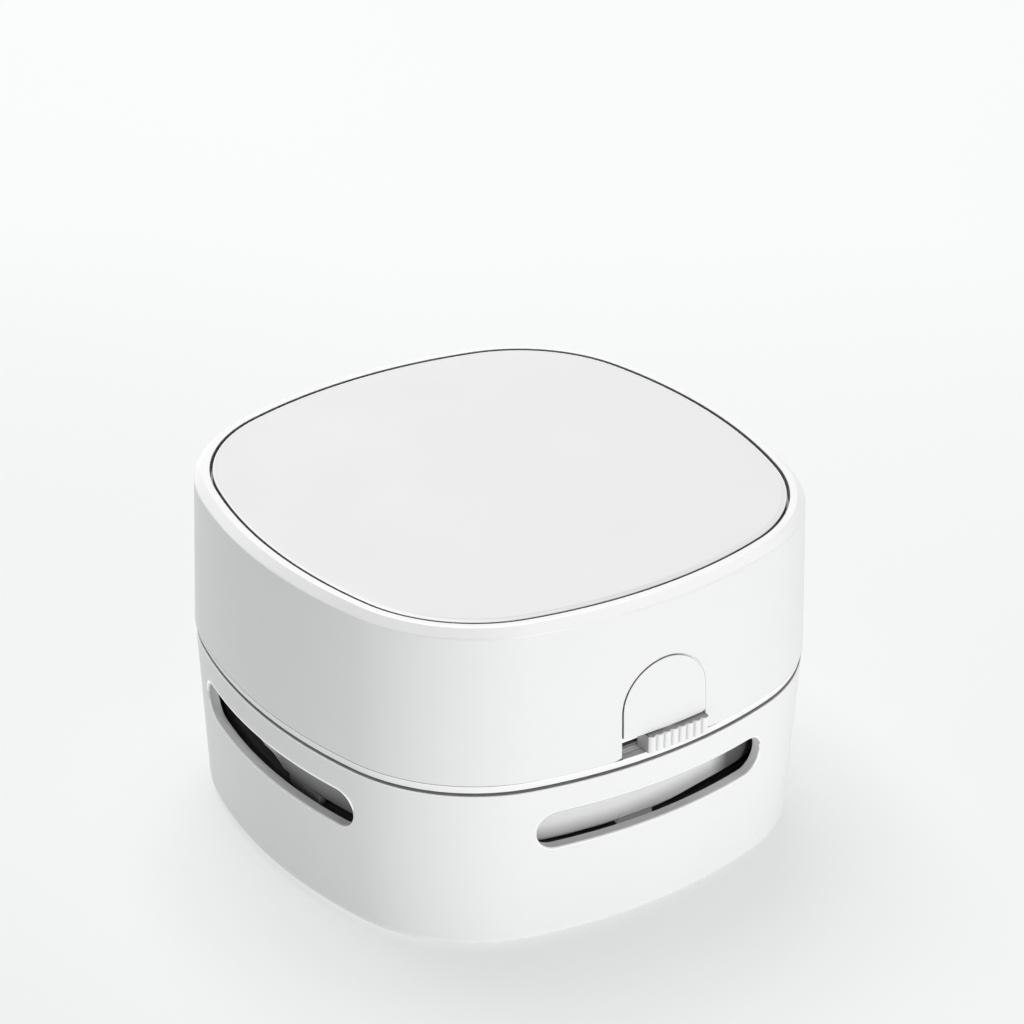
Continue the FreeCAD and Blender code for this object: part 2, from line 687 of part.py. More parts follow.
rect(s, -P("bay_half_x"), P("bay_half_x"), -P("bay_half_y"), P("bay_half_y"))
pocket(b, s, 3.0)
s = sketch(b, "PegHoles", "XY_Plane", P("deck_top"))
for sx in (-1, 1):
    for sy in (-1, 1):
        circle(s, 34.0 * sx, 18.5 * sy, 1.75)
pocket(b, s, 3.0)
s = sketch(b, "EarSink", "XY_Plane", P("deck_top"))
for sx in (-1, 1):
    for sy in (-1, 1):
        circle(s, P("ear_x") * sx, P("ear_y") * sy, 2.3)
pocket(b, s, 1.0)
s = sketch(b, "EarHoles", "XY_Plane", P("deck_top"))
for sx in (-1, 1):
    for sy in (-1, 1):
        circle(s, P("ear_x") * sx, P("ear_y") * sy, 1.2)
pocket(b, s, 3.0)
s = sketch(b, "HousingBosses", "XY_Plane", P("chassis_top"))
for sx in (-1, 1):
    for sy in (-1, 1):
        circle(s, P("boss_x") * sx, P("boss_y") * sy, 3.0)
pad(b, s, P("deck_low") - P("chassis_top") + 0.5)
s = sketch(b, "HousingPilots", "XY_Plane", P("chassis_top"))
for sx in (-1, 1):
    for sy in (-1, 1):
        circle(s, P("boss_x") * sx, P("boss_y") * sy, 1.0)
pocket(b, s, 9.0, reverse=True)
# arched opening for the pad and the knob, and a seat for the panel flange behind it
s = sketch(b, "SwitchOpening", "XZ_Plane", 30.0)
arch(s, P("arch_half"), P("band_top"), P("arch_mid"))
pocket(b, s, 30.0, reverse=True)
s = sketch(b, "FlangeSeat", "XZ_Plane", 30.0)
rect(s, -11.3, 11.3, 26.0, 48.3)
pocket(b, s, P("flange_front") - 30.0, reverse=True)
node(b, "upper_housing")

# ================================================================ SWITCH PANEL, KNOB, SWITCH
env_sketch = doc.addObject("Sketcher::SketchObject", "PadEnvelope")
env_sketch.Placement = FreeCAD.Placement(V3(0, 0, P("band_top").v), FreeCAD.Rotation())
bind(env_sketch, "Placement.Base.z", P("band_top"))
outline(env_sketch, P("unit_half"))
envelope = doc.addObject("Part::Extrusion", "Envelope")
envelope.Base = env_sketch
envelope.DirMode = "Custom"
envelope.Dir = V3(0, 0, 1)
envelope.Solid = True
envelope.LengthFwd = (P("unit_top") - P("band_top")).v
bind(envelope, "LengthFwd", P("unit_top") - P("band_top"))
envelope.TaperAngle = -P("unit_draft").v
bind(envelope, "TaperAngle", -P("unit_draft"))

pb = body("PadPrism")
s = sketch(pb, "PadArch", "XZ_Plane", P("flange_front"))
arch(s, P("arch_half") - P("seam"), P("pad_low"), P("arch_mid"))
pad(pb, s, 6.0)
trim = doc.addObject("Part::Common", "PadTrimmed")
trim.Base, trim.Tool = envelope, pb
flange = box(-11.0, 11.0, -P("flange_front"), -P("flange_back"), P("unit_low") + 0.2, 48.0)
# the knob's recess: a tray behind the flange, open in front, with the slit in its back wall
tray = box(-8.6, 8.6, -P("flange_back") - 0.5, -P("tray_back"), P("unit_low") + 0.7, P("pad_low") + 0.8)
hollow = box(-P("arch_half"), P("arch_half"), -P("flange_front") - 1.2, -P("tray_front"), P("band_top") + 0.04,
             P("pad_low"))
slit = box(-P("arch_half") - 0.3, P("arch_half") + 0.3, -P("tray_front") - 0.5, -P("tray_back") + 1,
           P("slit_low"), P("slit_high"))
node(cut(fuse(trim, flange, tray), hollow, slit), "switch_panel")

b = body("PowerKnob")
kx0 = P("knob_left")
pitch = P("knob_long") / 8
kz = P("band_top") + 0.08
kback = P("tray_front") + 0.12
s = sketch(b, "KnobBlock", "XY_Plane", kz)
rect(s, kx0 + 0.05, kx0 + P("knob_long") - 0.05, -(P("knob_front") - 0.4), -kback)
pad(b, s, P("knob_high"))
s = sketch(b, "KnobRib", "XY_Plane", kz)
# one rib: a shallow round nose on the block's face
half_w = pitch / 2 - 0.03
y_base = -(P("knob_front") - 0.5)
y_nose = -P("knob_front")
sag = 0.5
rad = (half_w.v ** 2 + sag ** 2) / (2 * sag)
xc = (kx0 + pitch / 2)
ang = math.asin(half_w.v / rad)
s.addGeometry(Part.ArcOfCircle(Part.Circle(V3(xc.v, y_nose.v + rad, 0), V3(0, 0, 1), rad),
                               3 * math.pi / 2 - ang, 3 * math.pi / 2 + ang), False)
s.addGeometry(Part.LineSegment(V3(xc.v + half_w.v, y_base.v, 0), V3(xc.v - half_w.v, y_base.v, 0)), False)
s.addConstraint(Sketcher.Constraint("Coincident", 0, 2, 1, 1))
s.addConstraint(Sketcher.Constraint("Coincident", 0, 1, 1, 2))
s.addConstraint(Sketcher.Constraint("Horizontal", 1))
place_point(s, 1, 2, xc - half_w, y_base)
datum(s, Sketcher.Constraint("DistanceX", 1, 2, 1, 1, 2 * half_w.v), half_w * 2)
datum(s, Sketcher.Constraint("Radius", 0, rad), q(rad))
rib = pad(b, s, P("knob_high"))
doc.recompute()
pat = b.newObject("PartDesign::LinearPattern", "Ribs")
pat.Originals = [rib]
pat.Direction = ([f for f in b.Origin.OriginFeatures if f.Role == "X_Axis"][0], [""])
pat.Occurrences = 8
pat.Length = (pitch * 7).v
bind(pat, "Length", pitch * 7)
b.Tip = pat
doc.recompute()
# the tongue passes the slit and carries the switch lever
s = sketch(b, "KnobTongue", "XY_Plane", P("slit_low") + 0.1)
rect(s, kx0 + 2.5, kx0 + 8.5, -(kback + 0.3), -(P("flange_back") - 2.6))
pad(b, s, P("slit_high") - P("slit_low") - 0.2)
s = sketch(b, "KnobFork", "XY_Plane", P("slit_low") + 0.1)
rect(s, kx0 + 3.9, kx0 + 4.7, -(P("flange_back") - 2.3), -(P("flange_back") - 3.5))
rect(s, kx0 + 6.3, kx0 + 7.1, -(P("flange_back") - 2.3), -(P("flange_back") - 3.5))
pad(b, s, 2.3)
node(b, "power_knob")
# the switch's own actuator, held between the prongs of the fork
node(box(kx0 + 4.75, kx0 + 6.25, -(P("flange_back") - 2.65), -(P("flange_back") - 4.7),
         P("slit_low") + 1.35, P("slit_low") + 2.25), "switch_actuator")

# slide switch on the chassis, behind the knob
sw_y = P("flange_back") - 3.9
sw_body = box(-5.2, 8.6, -sw_y, -(sw_y - 4.6), P("chassis_top"), P("chassis_top") + 4.0)
sw_slot = box(-3.4, 6.8, -(sw_y + 0.5), -(sw_y - 1.0), P("slit_low") + 0.95, P("slit_low") + 2.65)
pins = [box(-3.2 + 2.6 * i, -2.6 + 2.6 * i, -(sw_y - 4.6), -(sw_y - 6.4), P("chassis_top") + 1.6,
            P("chassis_top") + 2.0) for i in range(3)]
node(fuse(cut(sw_body, sw_slot), *pins), "slide_switch")

# ================================================================ TOP COVER
b = body("TopCover")
s = sketch(b, "CoverPlate", "XY_Plane", P("cover_low"))
outline(s, P("cover_half"))
pad(b, s, P("unit_top") - P("cover_low"))
dress(b, "Fillet", flat_at(P("unit_top").v), 0.3)
s = sketch(b, "CoverPegs", "XY_Plane", P("cover_low"))
for sx in (-1, 1):
    for sy in (-1, 1):
        circle(s, 34.0 * sx, 18.5 * sy, 1.5)
pad(b, s, 1.5, reverse=True)
node(b, "top_cover")

# ================================================================ MOTOR
can_low = P("chassis_top")
can = cut(cyl(P("can_rad"), P("can_top") - can_low, 0, 0, can_low),
          cyl(P("can_rad") - 0.9, 30, 0, 0, can_low + 1.0))
can = fuse(can, cyl(3.1, 1.5, 0, 0, can_low - 1.5))
can = cut(can, cyl(2.5, 6, 0, 0, can_low - 3.0), cyl(0.85, 4, 8.5, 0, can_low - 1.0),
          cyl(0.85, 4, -8.5, 0, can_low - 1.0))
node(can, "motor_can")
node(group(*[screw(8.5 * sx, 0, P("chassis_low"), 1.7, 1.0, 0.85, 3.2) for sx in (-1, 1)]), "motor_screws")

cap = fuse(cyl(P("can_rad"), 1.4, 0, 0, P("can_top")), cyl(P("can_rad") - 1.0, 1.2, 0, 0, P("can_top") - 1.2),
           cyl(3.6, 1.6, 0, 0, P("can_top") + 1.4))
cap = cut(cap, cyl(2.5, 8, 0, 0, P("can_top") - 3.0))
node(cap, "motor_end_cap")
bush = []
for z0 in (can_low - 1.5, P("can_top") + 0.4):
    bush.append(cut(cyl(2.5, 2.4, 0, 0, z0), cyl(P("shaft_rad") + 0.04, 6, 0, 0, z0 - 1.0)))
node(group(*bush), "motor_bushes")

mag = cut(cyl(P("can_rad") - 0.95, 11.0, 0, 0, can_low + 1.6), cyl(8.9, 14.0, 0, 0, can_low + 1.0))
gap_box = box(-14, 14, -3.2, 3.2, can_low, can_low + 14)
node(cut(mag, gap_box), "motor_magnets")

# ================================================================ ROTOR
node(cyl(P("shaft_rad"), P("can_top") + 2.8 - 20.2, 0, 0, 20.2), "motor_shaft")

arm = cut(cyl(8.4, 8.4, 0, 0, can_low + 2.8), cyl(P("shaft_rad"), 12, 0, 0, can_low + 1.0))
slots = []
for i in range(3):
    a = 120 * i + 30
    sb = doc.addObject("Part::Box", "CoreSlot")
    sb.Length, sb.Width, sb.Height = 3.4, 1.8, 12
    sb.Placement = FreeCAD.Placement(V3(0, 0, can_low.v + 1.5), FreeCAD.Rotation(V3(0, 0, 1), a)).multiply(
        FreeCAD.Placement(V3(5.6, -0.9, 0), FreeCAD.Rotation()))
    slots.append(sb)
arm = cut(arm, *slots)
comm = cut(cyl(3.0, 2.6, 0, 0, can_low + 11.2), cyl(P("shaft_rad"), 12, 0, 0, can_low + 8.0))
node(fuse(arm, comm), "motor_armature")

# impeller: back plate, hub and nine backward-curved blades
b = body("Impeller")
s = sketch(b, "ImpellerPlate", "XY_Plane", 25.0)
circle(s, 0, 0, P("fan_rad"))
pad(b, s, 1.1)
s = sketch(b, "ImpellerHub", "XY_Plane", 19.4)
circle(s, 0, 0, 4.2)
pad(b, s, 5.8)
s = sketch(b, "ImpellerBlade", "XY_Plane", 19.6)
r_in, r_out = 9.0, 26.4
turn = math.radians(52)
p_in = V3(r_in, 0, 0)
p_out = V3(r_out * math.cos(turn), -r_out * math.sin(turn), 0)
p_mid = V3(17.2 * math.cos(math.radians(16)), -17.2 * math.sin(math.radians(16)), 0)


def shifted(p, d):
    r = math.hypot(p.x, p.y)
    t = math.atan2(p.y, p.x) + d / r
    return V3(r * math.cos(t), r * math.sin(t), 0)


b_in, b_mid, b_out = shifted(p_in, 1.3), shifted(p_mid, 1.3), shifted(p_out, 1.1)
s.addGeometry(Part.Arc(p_in, p_mid, p_out), False)
s.addGeometry(Part.LineSegment(p_out, b_out), False)
s.addGeometry(Part.Arc(b_in, b_mid, b_out), False)
s.addGeometry(Part.LineSegment(b_in, p_in), False)
blade = pad(b, s, 5.8)
pol = b.newObject("PartDesign::PolarPattern", "Blades")
pol.Originals = [blade]
pol.Axis = ([f for f in b.Origin.OriginFeatures if f.Role == "Z_Axis"][0], [""])
pol.Angle = 360
pol.Occurrences = 9
b.Tip = pol
doc.recompute()
s = sketch(b, "ImpellerBore", "XY_Plane", 30.0)
circle(s, 0, 0, P("shaft_rad"))
pocket(b, s, 20.0)
node(b, "impeller")

# ================================================================ BATTERY TRAY AND CELLS
b = body("BatteryTray")
tx, ty = P("bay_half_x") + 1.3, P("cell_y") + P("cell_rad") + 1.6
s = sketch(b, "TrayBlock", "XY_Plane", P("tray_low"))
rect(s, -tx, tx, -ty, ty)
pad(b, s, P("deck_low") - P("tray_low"))
s = sketch(b, "TrayEars", "XY_Plane", P("deck_low") - 7.0)
for sx in (-1, 1):
    for sy in (-1, 1):
        circle(s, P("ear_x") * sx, P("ear_y") * sy, 2.7)
pad(b, s, 7.0)
s = sketch(b, "TrayWebs", "XY_Plane", P("deck_low") - 7.0)
for sx in (-1, 1):
    for sy in (-1, 1):
        rect(s, P("ear_x") * sx - 1.6, P("ear_x") * sx + 1.6,
             (ty - 1.0) if sy > 0 else -(P("ear_y") - 1.6),
             (P("ear_y") - 1.6) if sy > 0 else -(ty - 1.0))
pad(b, s, 7.0)
s = sketch(b, "TrayPockets", "XY_Plane", P("deck_low"))
for sy in (-1, 1):
    y0 = P("cell_y") - P("cell_rad") - 0.3
    y1 = P("cell_y") + P("cell_rad") + 0.3
    if sy > 0:
        rect(s, -P("bay_half_x"), P("bay_half_x"), y0, y1)
    else:
        rect(s, -P("bay_half_x"), P("bay_half_x"), -y1, -y0)
pocket(b, s, P("deck_low") - P("tray_low") - 1.2)
s = sketch(b, "TrayMotor", "XY_Plane", P("tray_low"))
circle(s, 0, 0, P("can_rad") + 0.3)
pocket(b, s, P("deck_low") - P("tray_low") - 1.2, reverse=True)
s = sketch(b, "TrayLight", "XY_Plane", P("tray_low"))
rect(s, 15.0, 28.0, -11.4, 11.4)
rect(s, -28.0, -15.0, -11.4, 11.4)
pocket(b, s, P("deck_low") - P("tray_low") - 1.2, reverse=True)
s = sketch(b, "TrayPilots", "XY_Plane", P("deck_low"))
for sx in (-1, 1):
    for sy in (-1, 1):
        circle(s, P("ear_x") * sx, P("ear_y") * sy, 1.0)
pocket(b, s, 6.0)
node(b, "battery_tray")

node(group(*[screw(P("ear_x") * sx, P("ear_y") * sy, P("deck_top") - 1.0, 2.1, 0.95, 1.0, 6.6, down=True)
             for sx in (-1, 1) for sy in (-1, 1)]), "tray_screws")

cells = []
for sy in (-1, 1):
    # the bare end meets the spring, the nub meets the plate
    if sy > 0:
        x_body, x_nub = -(P("cell_long") / 2) + 2.2, P("cell_long") / 2 + 2.2
    else:
        x_body, x_nub = -(P("cell_long") / 2) - 2.2, -(P("cell_long") / 2) - 3.2
    cells.append(fuse(cyl(P("cell_rad"), P("cell_long"), x_body, P("cell_y") * sy, P("cell_z"), ALONG_X),
                      cyl(2.6, 1.0, x_nub, P("cell_y") * sy, P("cell_z"), ALONG_X)))
node(group(*cells), "battery_cells")

# positive plates at the nub ends
plates = []
for sy in (-1, 1):
    yc = P("cell_y") * sy
    if sy > 0:
        plates.append(box(P("bay_half_x") - 0.35, P("bay_half_x") - 0.02, yc - 5.0, yc + 5.0,
                          P("cell_z") - 5.5, P("cell_z") + 5.5))
    else:
        plates.append(box(-P("bay_half_x") + 0.02, -P("bay_half_x") + 0.35, yc - 5.0, yc + 5.0,
                          P("cell_z") - 5.5, P("cell_z") + 5.5))
node(group(*plates), "contact_plates")


# springs at the bare ends: tapered coils of round wire between tray wall and cell
def coil(x_from, x_to, yc, zc, r0, r1, wire_r, turns):
    steps = int(turns * 10)
    pts = []
    for i in range(steps + 1):
        t = i / steps
        a = 2 * math.pi * turns * t
        r = r0 + (r1 - r0) * t
        pts.append(V3(x_from + (x_to - x_from) * t, yc + r * math.cos(a), zc + r * math.sin(a)))
    curve = Part.BSplineCurve()
    curve.interpolate(pts)
    wire = Part.Wire([curve.toShape()])
    tan = curve.tangent(curve.FirstParameter)[0]
    prof = Part.Wire([Part.Circle(pts[0], tan, wire_r).toShape()])
    return wire.makePipeShell([prof], True, True)


springs = []
for sy in (-1, 1):
    x_wall = -VALUE["bay_half_x"] if sy > 0 else VALUE["bay_half_x"]
    x_cell = (-VALUE["cell_long"] / 2 + 2.2) if sy > 0 else (VALUE["cell_long"] / 2 - 2.2)
    d = 1 if x_cell > x_wall else -1
    springs.append(coil(x_wall + 0.45 * d, x_cell - 0.45 * d, VALUE["cell_y"] * sy, VALUE["cell_z"],
                        4.6, 2.6, 0.35, 3.5))
f = doc.addObject("Part::Feature", "Springs")
f.Shape = Part.Compound(springs)
f.Placement = FreeCAD.Placement()
node(f, "contact_springs")


# leads: straight runs joined by tangent arcs, round section
def lead(points, wire_r, label):
    pts = [V3(*p) for p in points]
    edges = []
    prev = pts[0]
    length = 0.0
    for i in range(1, len(pts) - 1):
        a, c, e = pts[i - 1], pts[i], pts[i + 1]
        u, w = (a - c), (e - c)
        lu, lw = u.Length, w.Length
        u.normalize()
        w.normalize()
        turn = math.pi - u.getAngle(w)
        run = min(lu, lw)
        back = 0.45 * run
        p0, p1 = c + u * back, c + w * back
        r = back / math.tan(turn / 2)
        bis = u + w
        bis.normalize()
        centre = c + bis * math.hypot(r, back)
        mid = centre - bis * r
        if (p0 - prev).Length > 1e-6:
            edges.append(Part.LineSegment(prev, p0).toShape())
            length += (p0 - prev).Length
        edges.append(Part.Arc(p0, mid, p1).toShape())
        length += r * turn
        prev = p1
    edges.append(Part.LineSegment(prev, pts[-1]).toShape())
    length += (pts[-1] - prev).Length
    path = Part.Wire(edges)
    prof = Part.Wire([Part.Circle(pts[0], pts[1] - pts[0], wire_r).toShape()])
    sh = path.makePipeShell([prof], True, False)
    want = math.pi * wire_r ** 2 * length
    print("lead", label, "length %.1f" % length, "volume ratio %.4f" % (sh.Volume / want))
    o = doc.addObject("Part::Feature", "Lead")
    o.Shape = sh
    o.Placement = FreeCAD.Placement()
    return node(o, label)


ct = VALUE["chassis_top"]
lead([(30.4, 20.8, 42.0), (30.9, 20.2, 37.5), (31.0, 15.0, 33.6), (31.2, 4.0, 32.6), (31.0, -8.0, 32.4),
      (30.2, -19.6, 32.6), (26.0, -29.2, 32.8), (16.6, -32.6, 32.9), (9.4, -31.3, 32.8), (2.62, -31.3, 32.8)],
     0.5, "lead_battery_switch")
lead([(-2.9, -30.0, 32.8), (-5.0, -25.4, 33.2), (-10.0, -19.4, 33.6), (-15.6, -13.2, 34.0),
      (-17.0, -5.6, 34.2), (-15.2, 0.2, 34.3)], 0.5, "lead_switch_motor")
lead([(30.4, -20.8, 42.0), (31.2, -18.0, 37.2), (31.4, -11.0, 34.6), (26.8, -3.0, 34.2), (20.4, 1.0, 34.2),
      (15.2, 0.2, 34.3)], 0.5, "lead_battery_motor")

# ================================================================ CHECK AND WRITE
doc.recompute()
bad = []
for o in doc.Objects:
    st = [x for x in o.State if x in ("Invalid", "Error")]
    if st:
        bad.append("%s %s" % (o.Name, st))
for label, o in NODES:
    sh = o.Shape
    if sh.isNull() or not sh.isValid():
        bad.append("%s shape" % label)
if bad:
    raise RuntimeError("; ".join(bad))
os.makedirs("parts", exist_ok=True)
for label, o in NODES:
    o.Shape.exportStep("parts/%s.step" % label)
    bb = o.Shape.BoundBox
    print("%-22s solids %2d vol %10.1f  x %7.2f %7.2f  y %7.2f %7.2f  z %6.2f %6.2f" % (
        label, len(o.Shape.Solids), o.Shape.Volume, bb.XMin, bb.XMax, bb.YMin, bb.YMax, bb.ZMin, bb.ZMax))
print(len(NODES), "nodes")
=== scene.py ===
import json
import math
import random

import bpy
import numpy as np
from mathutils import Matrix, Vector


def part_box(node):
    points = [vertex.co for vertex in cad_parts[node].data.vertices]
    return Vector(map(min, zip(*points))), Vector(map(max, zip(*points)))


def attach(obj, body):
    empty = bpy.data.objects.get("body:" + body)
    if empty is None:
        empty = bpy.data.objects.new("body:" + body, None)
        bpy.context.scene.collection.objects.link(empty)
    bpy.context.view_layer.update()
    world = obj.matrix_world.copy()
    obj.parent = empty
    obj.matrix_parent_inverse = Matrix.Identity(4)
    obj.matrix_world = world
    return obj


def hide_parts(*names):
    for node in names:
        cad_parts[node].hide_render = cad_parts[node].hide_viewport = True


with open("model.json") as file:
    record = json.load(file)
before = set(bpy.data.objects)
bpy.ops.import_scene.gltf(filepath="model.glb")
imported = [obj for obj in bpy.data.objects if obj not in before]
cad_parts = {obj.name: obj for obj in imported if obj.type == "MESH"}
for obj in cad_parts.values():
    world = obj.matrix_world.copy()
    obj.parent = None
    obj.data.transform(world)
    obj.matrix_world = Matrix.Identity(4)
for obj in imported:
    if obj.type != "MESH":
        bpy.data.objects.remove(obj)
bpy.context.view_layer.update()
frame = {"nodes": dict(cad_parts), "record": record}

MM = 0.001
RAD = math.pi / 180.0

# =====================================================================================
# The outline: four side arcs and four corner arcs.  All outlines of this family share
# their arc centres, so a half width h and a normal angle phi give a point.  Millimetres.
# =====================================================================================
SIDE_B, CORNER_D = 38.15, 16.5
CORNER_C = (-SIDE_B + math.sqrt(2 * (SIDE_B + CORNER_D) ** 2 - SIDE_B ** 2)) / 2
TH = math.atan2(CORNER_C, SIDE_B + CORNER_C)
NS, NC = 44, 20
PER = NS + 2 * NC
_dq = np.concatenate([np.linspace(-math.pi / 4, -TH, NC + 1)[:-1], np.linspace(-TH, TH, NS + 1),
                      np.linspace(TH, math.pi / 4, NC + 1)[1:]])
PHI = np.concatenate([_dq[:-1] + q * math.pi / 2 for q in range(4)])
PER4 = len(PHI)


def plan(h, phi=PHI):
    phi = np.asarray(phi, float)
    q = np.round(phi / (math.pi / 2))
    side = np.abs(phi - q * math.pi / 2) <= TH + 1e-9
    ka = (np.floor(phi / (math.pi / 2) + 1e-12) + 0.5) * math.pi / 2
    qa = q * math.pi / 2
    cx = np.where(side, -SIDE_B * np.cos(qa), CORNER_C * math.sqrt(2) * np.cos(ka))
    cy = np.where(side, -SIDE_B * np.sin(qa), CORNER_C * math.sqrt(2) * np.sin(ka))
    r = np.where(side, h + SIDE_B, h - CORNER_D)
    nx, ny = np.cos(phi), np.sin(phi)
    return cx + r * nx, cy + r * ny, nx, ny


def half_of(x, y):
    """half width of the outline through a point"""
    x, y = abs(x), abs(y)
    if x < y:
        x, y = y, x
    if math.atan2(y, x + SIDE_B) <= TH:
        return math.hypot(x + SIDE_B, y) - SIDE_B
    return math.hypot(x - CORNER_C, y - CORNER_C) + CORNER_D


# =====================================================================================
# Mesh building: faces with their own corner normals, welded by place
# =====================================================================================
class Build:
    def __init__(self):
        self.P, self.N, self.F, self.M, self.n = [], [], [], [], 0

    def _add(self, P, N):
        base = self.n
        P = np.asarray(P, float).reshape(-1, 3)
        self.P.append(P)
        self.N.append(np.asarray(N, float).reshape(-1, 3))
        self.n += len(P)
        return base

    def grid(self, P, N, wrap=False, mat=0, skip=None):
        P, N = np.asarray(P, float), np.asarray(N, float)
        r, c = P.shape[:2]
        base = self._add(P, N)
        for i in range(r - 1):
            for j in range(c if wrap else c - 1):
                if skip is not None and skip(i, j):
                    continue
                k = (j + 1) % c
                self.F.append((base + i * c + j, base + i * c + k, base + (i + 1) * c + k, base + (i + 1) * c + j))
                self.M.append(mat)

    def poly(self, pts, nrm, mat=0):
        base = self._add(pts, nrm)
        self.F.append(tuple(range(base, base + len(pts))))
        self.M.append(mat)

    def box(self, lo, hi, mat=0, bevel=0.0):
        """a block with narrow bevels"""
        lo, hi = np.array(lo, float), np.array(hi, float)
        b = min(bevel, 0.45 * float((hi - lo).min()))
        for ax in range(3):
            u, v = (ax + 1) % 3, (ax + 2) % 3
            for s in (0, 1):
                n = np.zeros(3)
                n[ax] = 1 if s else -1
                pts = []
                for du, dv in ((0, 0), (1, 0), (1, 1), (0, 1)):
                    p = np.zeros(3)
                    p[ax] = hi[ax] if s else lo[ax]
                    p[u] = (hi[u] - b) if du else (lo[u] + b)
                    p[v] = (hi[v] - b) if dv else (lo[v] + b)
                    pts.append(p)
                self.poly(pts, [n] * 4, mat)
        if b > 0:
            for ax in range(3):
                u, v = (ax + 1) % 3, (ax + 2) % 3
                for su in (0, 1):
                    for sv in (0, 1):
                        nu, nv = np.zeros(3), np.zeros(3)
                        nu[u] = 1 if su else -1
                        nv[v] = 1 if sv else -1
                        pu, pv = (hi if su else lo)[u], (hi if sv else lo)[v]
                        a0, a1 = lo[ax] + b, hi[ax] - b
                        quad = []
                        for a, first in ((a0, True), (a1, True), (a1, False), (a0, False)):
                            p = np.zeros(3)
                            p[ax] = a
                            p[u] = pu if first else pu - nu[u] * b
                            p[v] = pv - nv[v] * b if first else pv
                            quad.append(p)
                        self.poly(quad, [nu, nu, nv, nv], mat)
            for sx in (0, 1):
                for sy in (0, 1):
                    for sz in (0, 1):
                        s = np.array([1 if t else -1 for t in (sx, sy, sz)], float)
                        c = np.where(s > 0, hi, lo)
                        pts = [c - s * b + np.array([s[0] * b, 0, 0]), c - s * b + np.array([0, s[1] * b, 0]),
                               c - s * b + np.array([0, 0, s[2] * b])]
                        self.poly(pts, [[s[0], 0, 0], [0, s[1], 0], [0, 0, s[2]]], mat)

    def copy(self, node, keep, mat=0):
        """faces of a CAD node that pass keep(centre, normal), in millimetres"""
        me = frame["nodes"][node].data
        cn = me.corner_normals
        for p in me.polygons:
            c = np.array(p.center) / MM
            if not keep(c, np.array(p.normal)):
                continue
            pts = [np.array(me.vertices[v].co) / MM for v in p.vertices]
            self.poly(pts, [list(cn[i].vector) for i in p.loop_indices], mat)

    def make(self, name, mats):
        P, N = np.concatenate(self.P), np.concatenate(self.N)
        key = np.round((P + 0.000371) / 0.001).astype(np.int64)
        _, first, inv = np.unique(key, axis=0, return_index=True, return_inverse=True)
        inv = np.asarray(inv).reshape(-1)
        V = P[first] * MM
        faces, loops, fm = [], [], []
        for f, m in zip(self.F, self.M):
            idx, nn = [], []
            for k in f:
                v = int(inv[k])
                if v in idx:
                    continue
                idx.append(v)
                nn.append(N[k])
            if len(idx) < 3:
                continue
            q = V[idx]
            g = np.zeros(3)
            for a in range(len(q)):
                g += np.cross(q[a], q[(a + 1) % len(q)])
            lg = np.linalg.norm(g)
            if lg < 1e-16:
                continue
            if np.dot(g, np.sum(nn, axis=0)) < 0:
                idx, nn = idx[::-1], nn[::-1]
                g = -g
            faces.append(idx)
            for n in nn:
                ln = np.linalg.norm(n)
                loops.append(tuple(n / ln) if ln > 1e-9 else tuple(g / lg))
            fm.append(m)
        me = bpy.data.meshes.new(name)
        me.from_pydata([tuple(v) for v in V], [], faces, shade_flat=False)
        me.update()
        me.polygons.foreach_set("material_index", fm)
        if len(me.loops) == len(loops):
            me.normals_split_custom_set(loops)
        for m in mats:
            me.materials.append(m)
        ob = bpy.data.objects.new(name, me)
        bpy.context.scene.collection.objects.link(ob)
        return ob


def rounded(pts, radii, seg=5):
    """a section line (h, z) with rounded corners, split into strips at sharp corners.
    Its outside is on the right of its direction."""
    pts = [np.array(p, float) for p in pts]
    d = [(pts[i + 1] - pts[i]) / np.linalg.norm(pts[i + 1] - pts[i]) for i in range(len(pts) - 1)]
    n = [np.array([v[1], -v[0]]) for v in d]
    strips = [[(pts[0], n[0])]]
    for i in range(1, len(pts) - 1):
        r = radii[i]
        turn = math.atan2(d[i - 1][0] * d[i][1] - d[i - 1][1] * d[i][0], float(np.dot(d[i - 1], d[i])))
        if r <= 0 or abs(turn) < 1e-6:
            strips[-1].append((pts[i], n[i - 1]))
            strips.append([(pts[i], n[i])])
            continue
        s = 1.0 if turn > 0 else -1.0
        t = r * math.tan(abs(turn) / 2)
        pa = pts[i] - d[i - 1] * t
        cen = pa - n[i - 1] * r * s
        for k in range(seg + 1):
            a = turn * k / seg
            nn = np.array([n[i - 1][0] * math.cos(a) - n[i - 1][1] * math.sin(a),
                           n[i - 1][0] * math.sin(a) + n[i - 1][1] * math.cos(a)])
            strips[-1].append((cen + nn * r * s, nn))
    strips[-1].append((pts[-1], n[-1]))
    return strips


def sweep(b, strips, mat=0, phi=PHI, wrap=True):
    for s in strips:
        P, N = [], []
        for (h, z), (nh, nz) in s:
            x, y, nx, ny = plan(h, phi)
            P.append(np.stack([x, y, np.full_like(x, z)], 1))
            N.append(np.stack([nx * nh, ny * nh, np.full_like(x, nz)], 1))
        b.grid(P, N, wrap=wrap, mat=mat)


def lathe(b, strips, mat=0, seg=96, cx=0.0, cy=0.0):
    a = np.linspace(0, 2 * math.pi, seg, endpoint=False)
    for s in strips:
        P, N = [], []
        for (r, z), (nr, nz) in s:
            P.append(np.stack([cx + r * np.cos(a), cy + r * np.sin(a), np.full_like(a, z)], 1))
            N.append(np.stack([nr * np.cos(a), nr * np.sin(a), np.full_like(a, nz)], 1))
        b.grid(P, N, wrap=True, mat=mat)


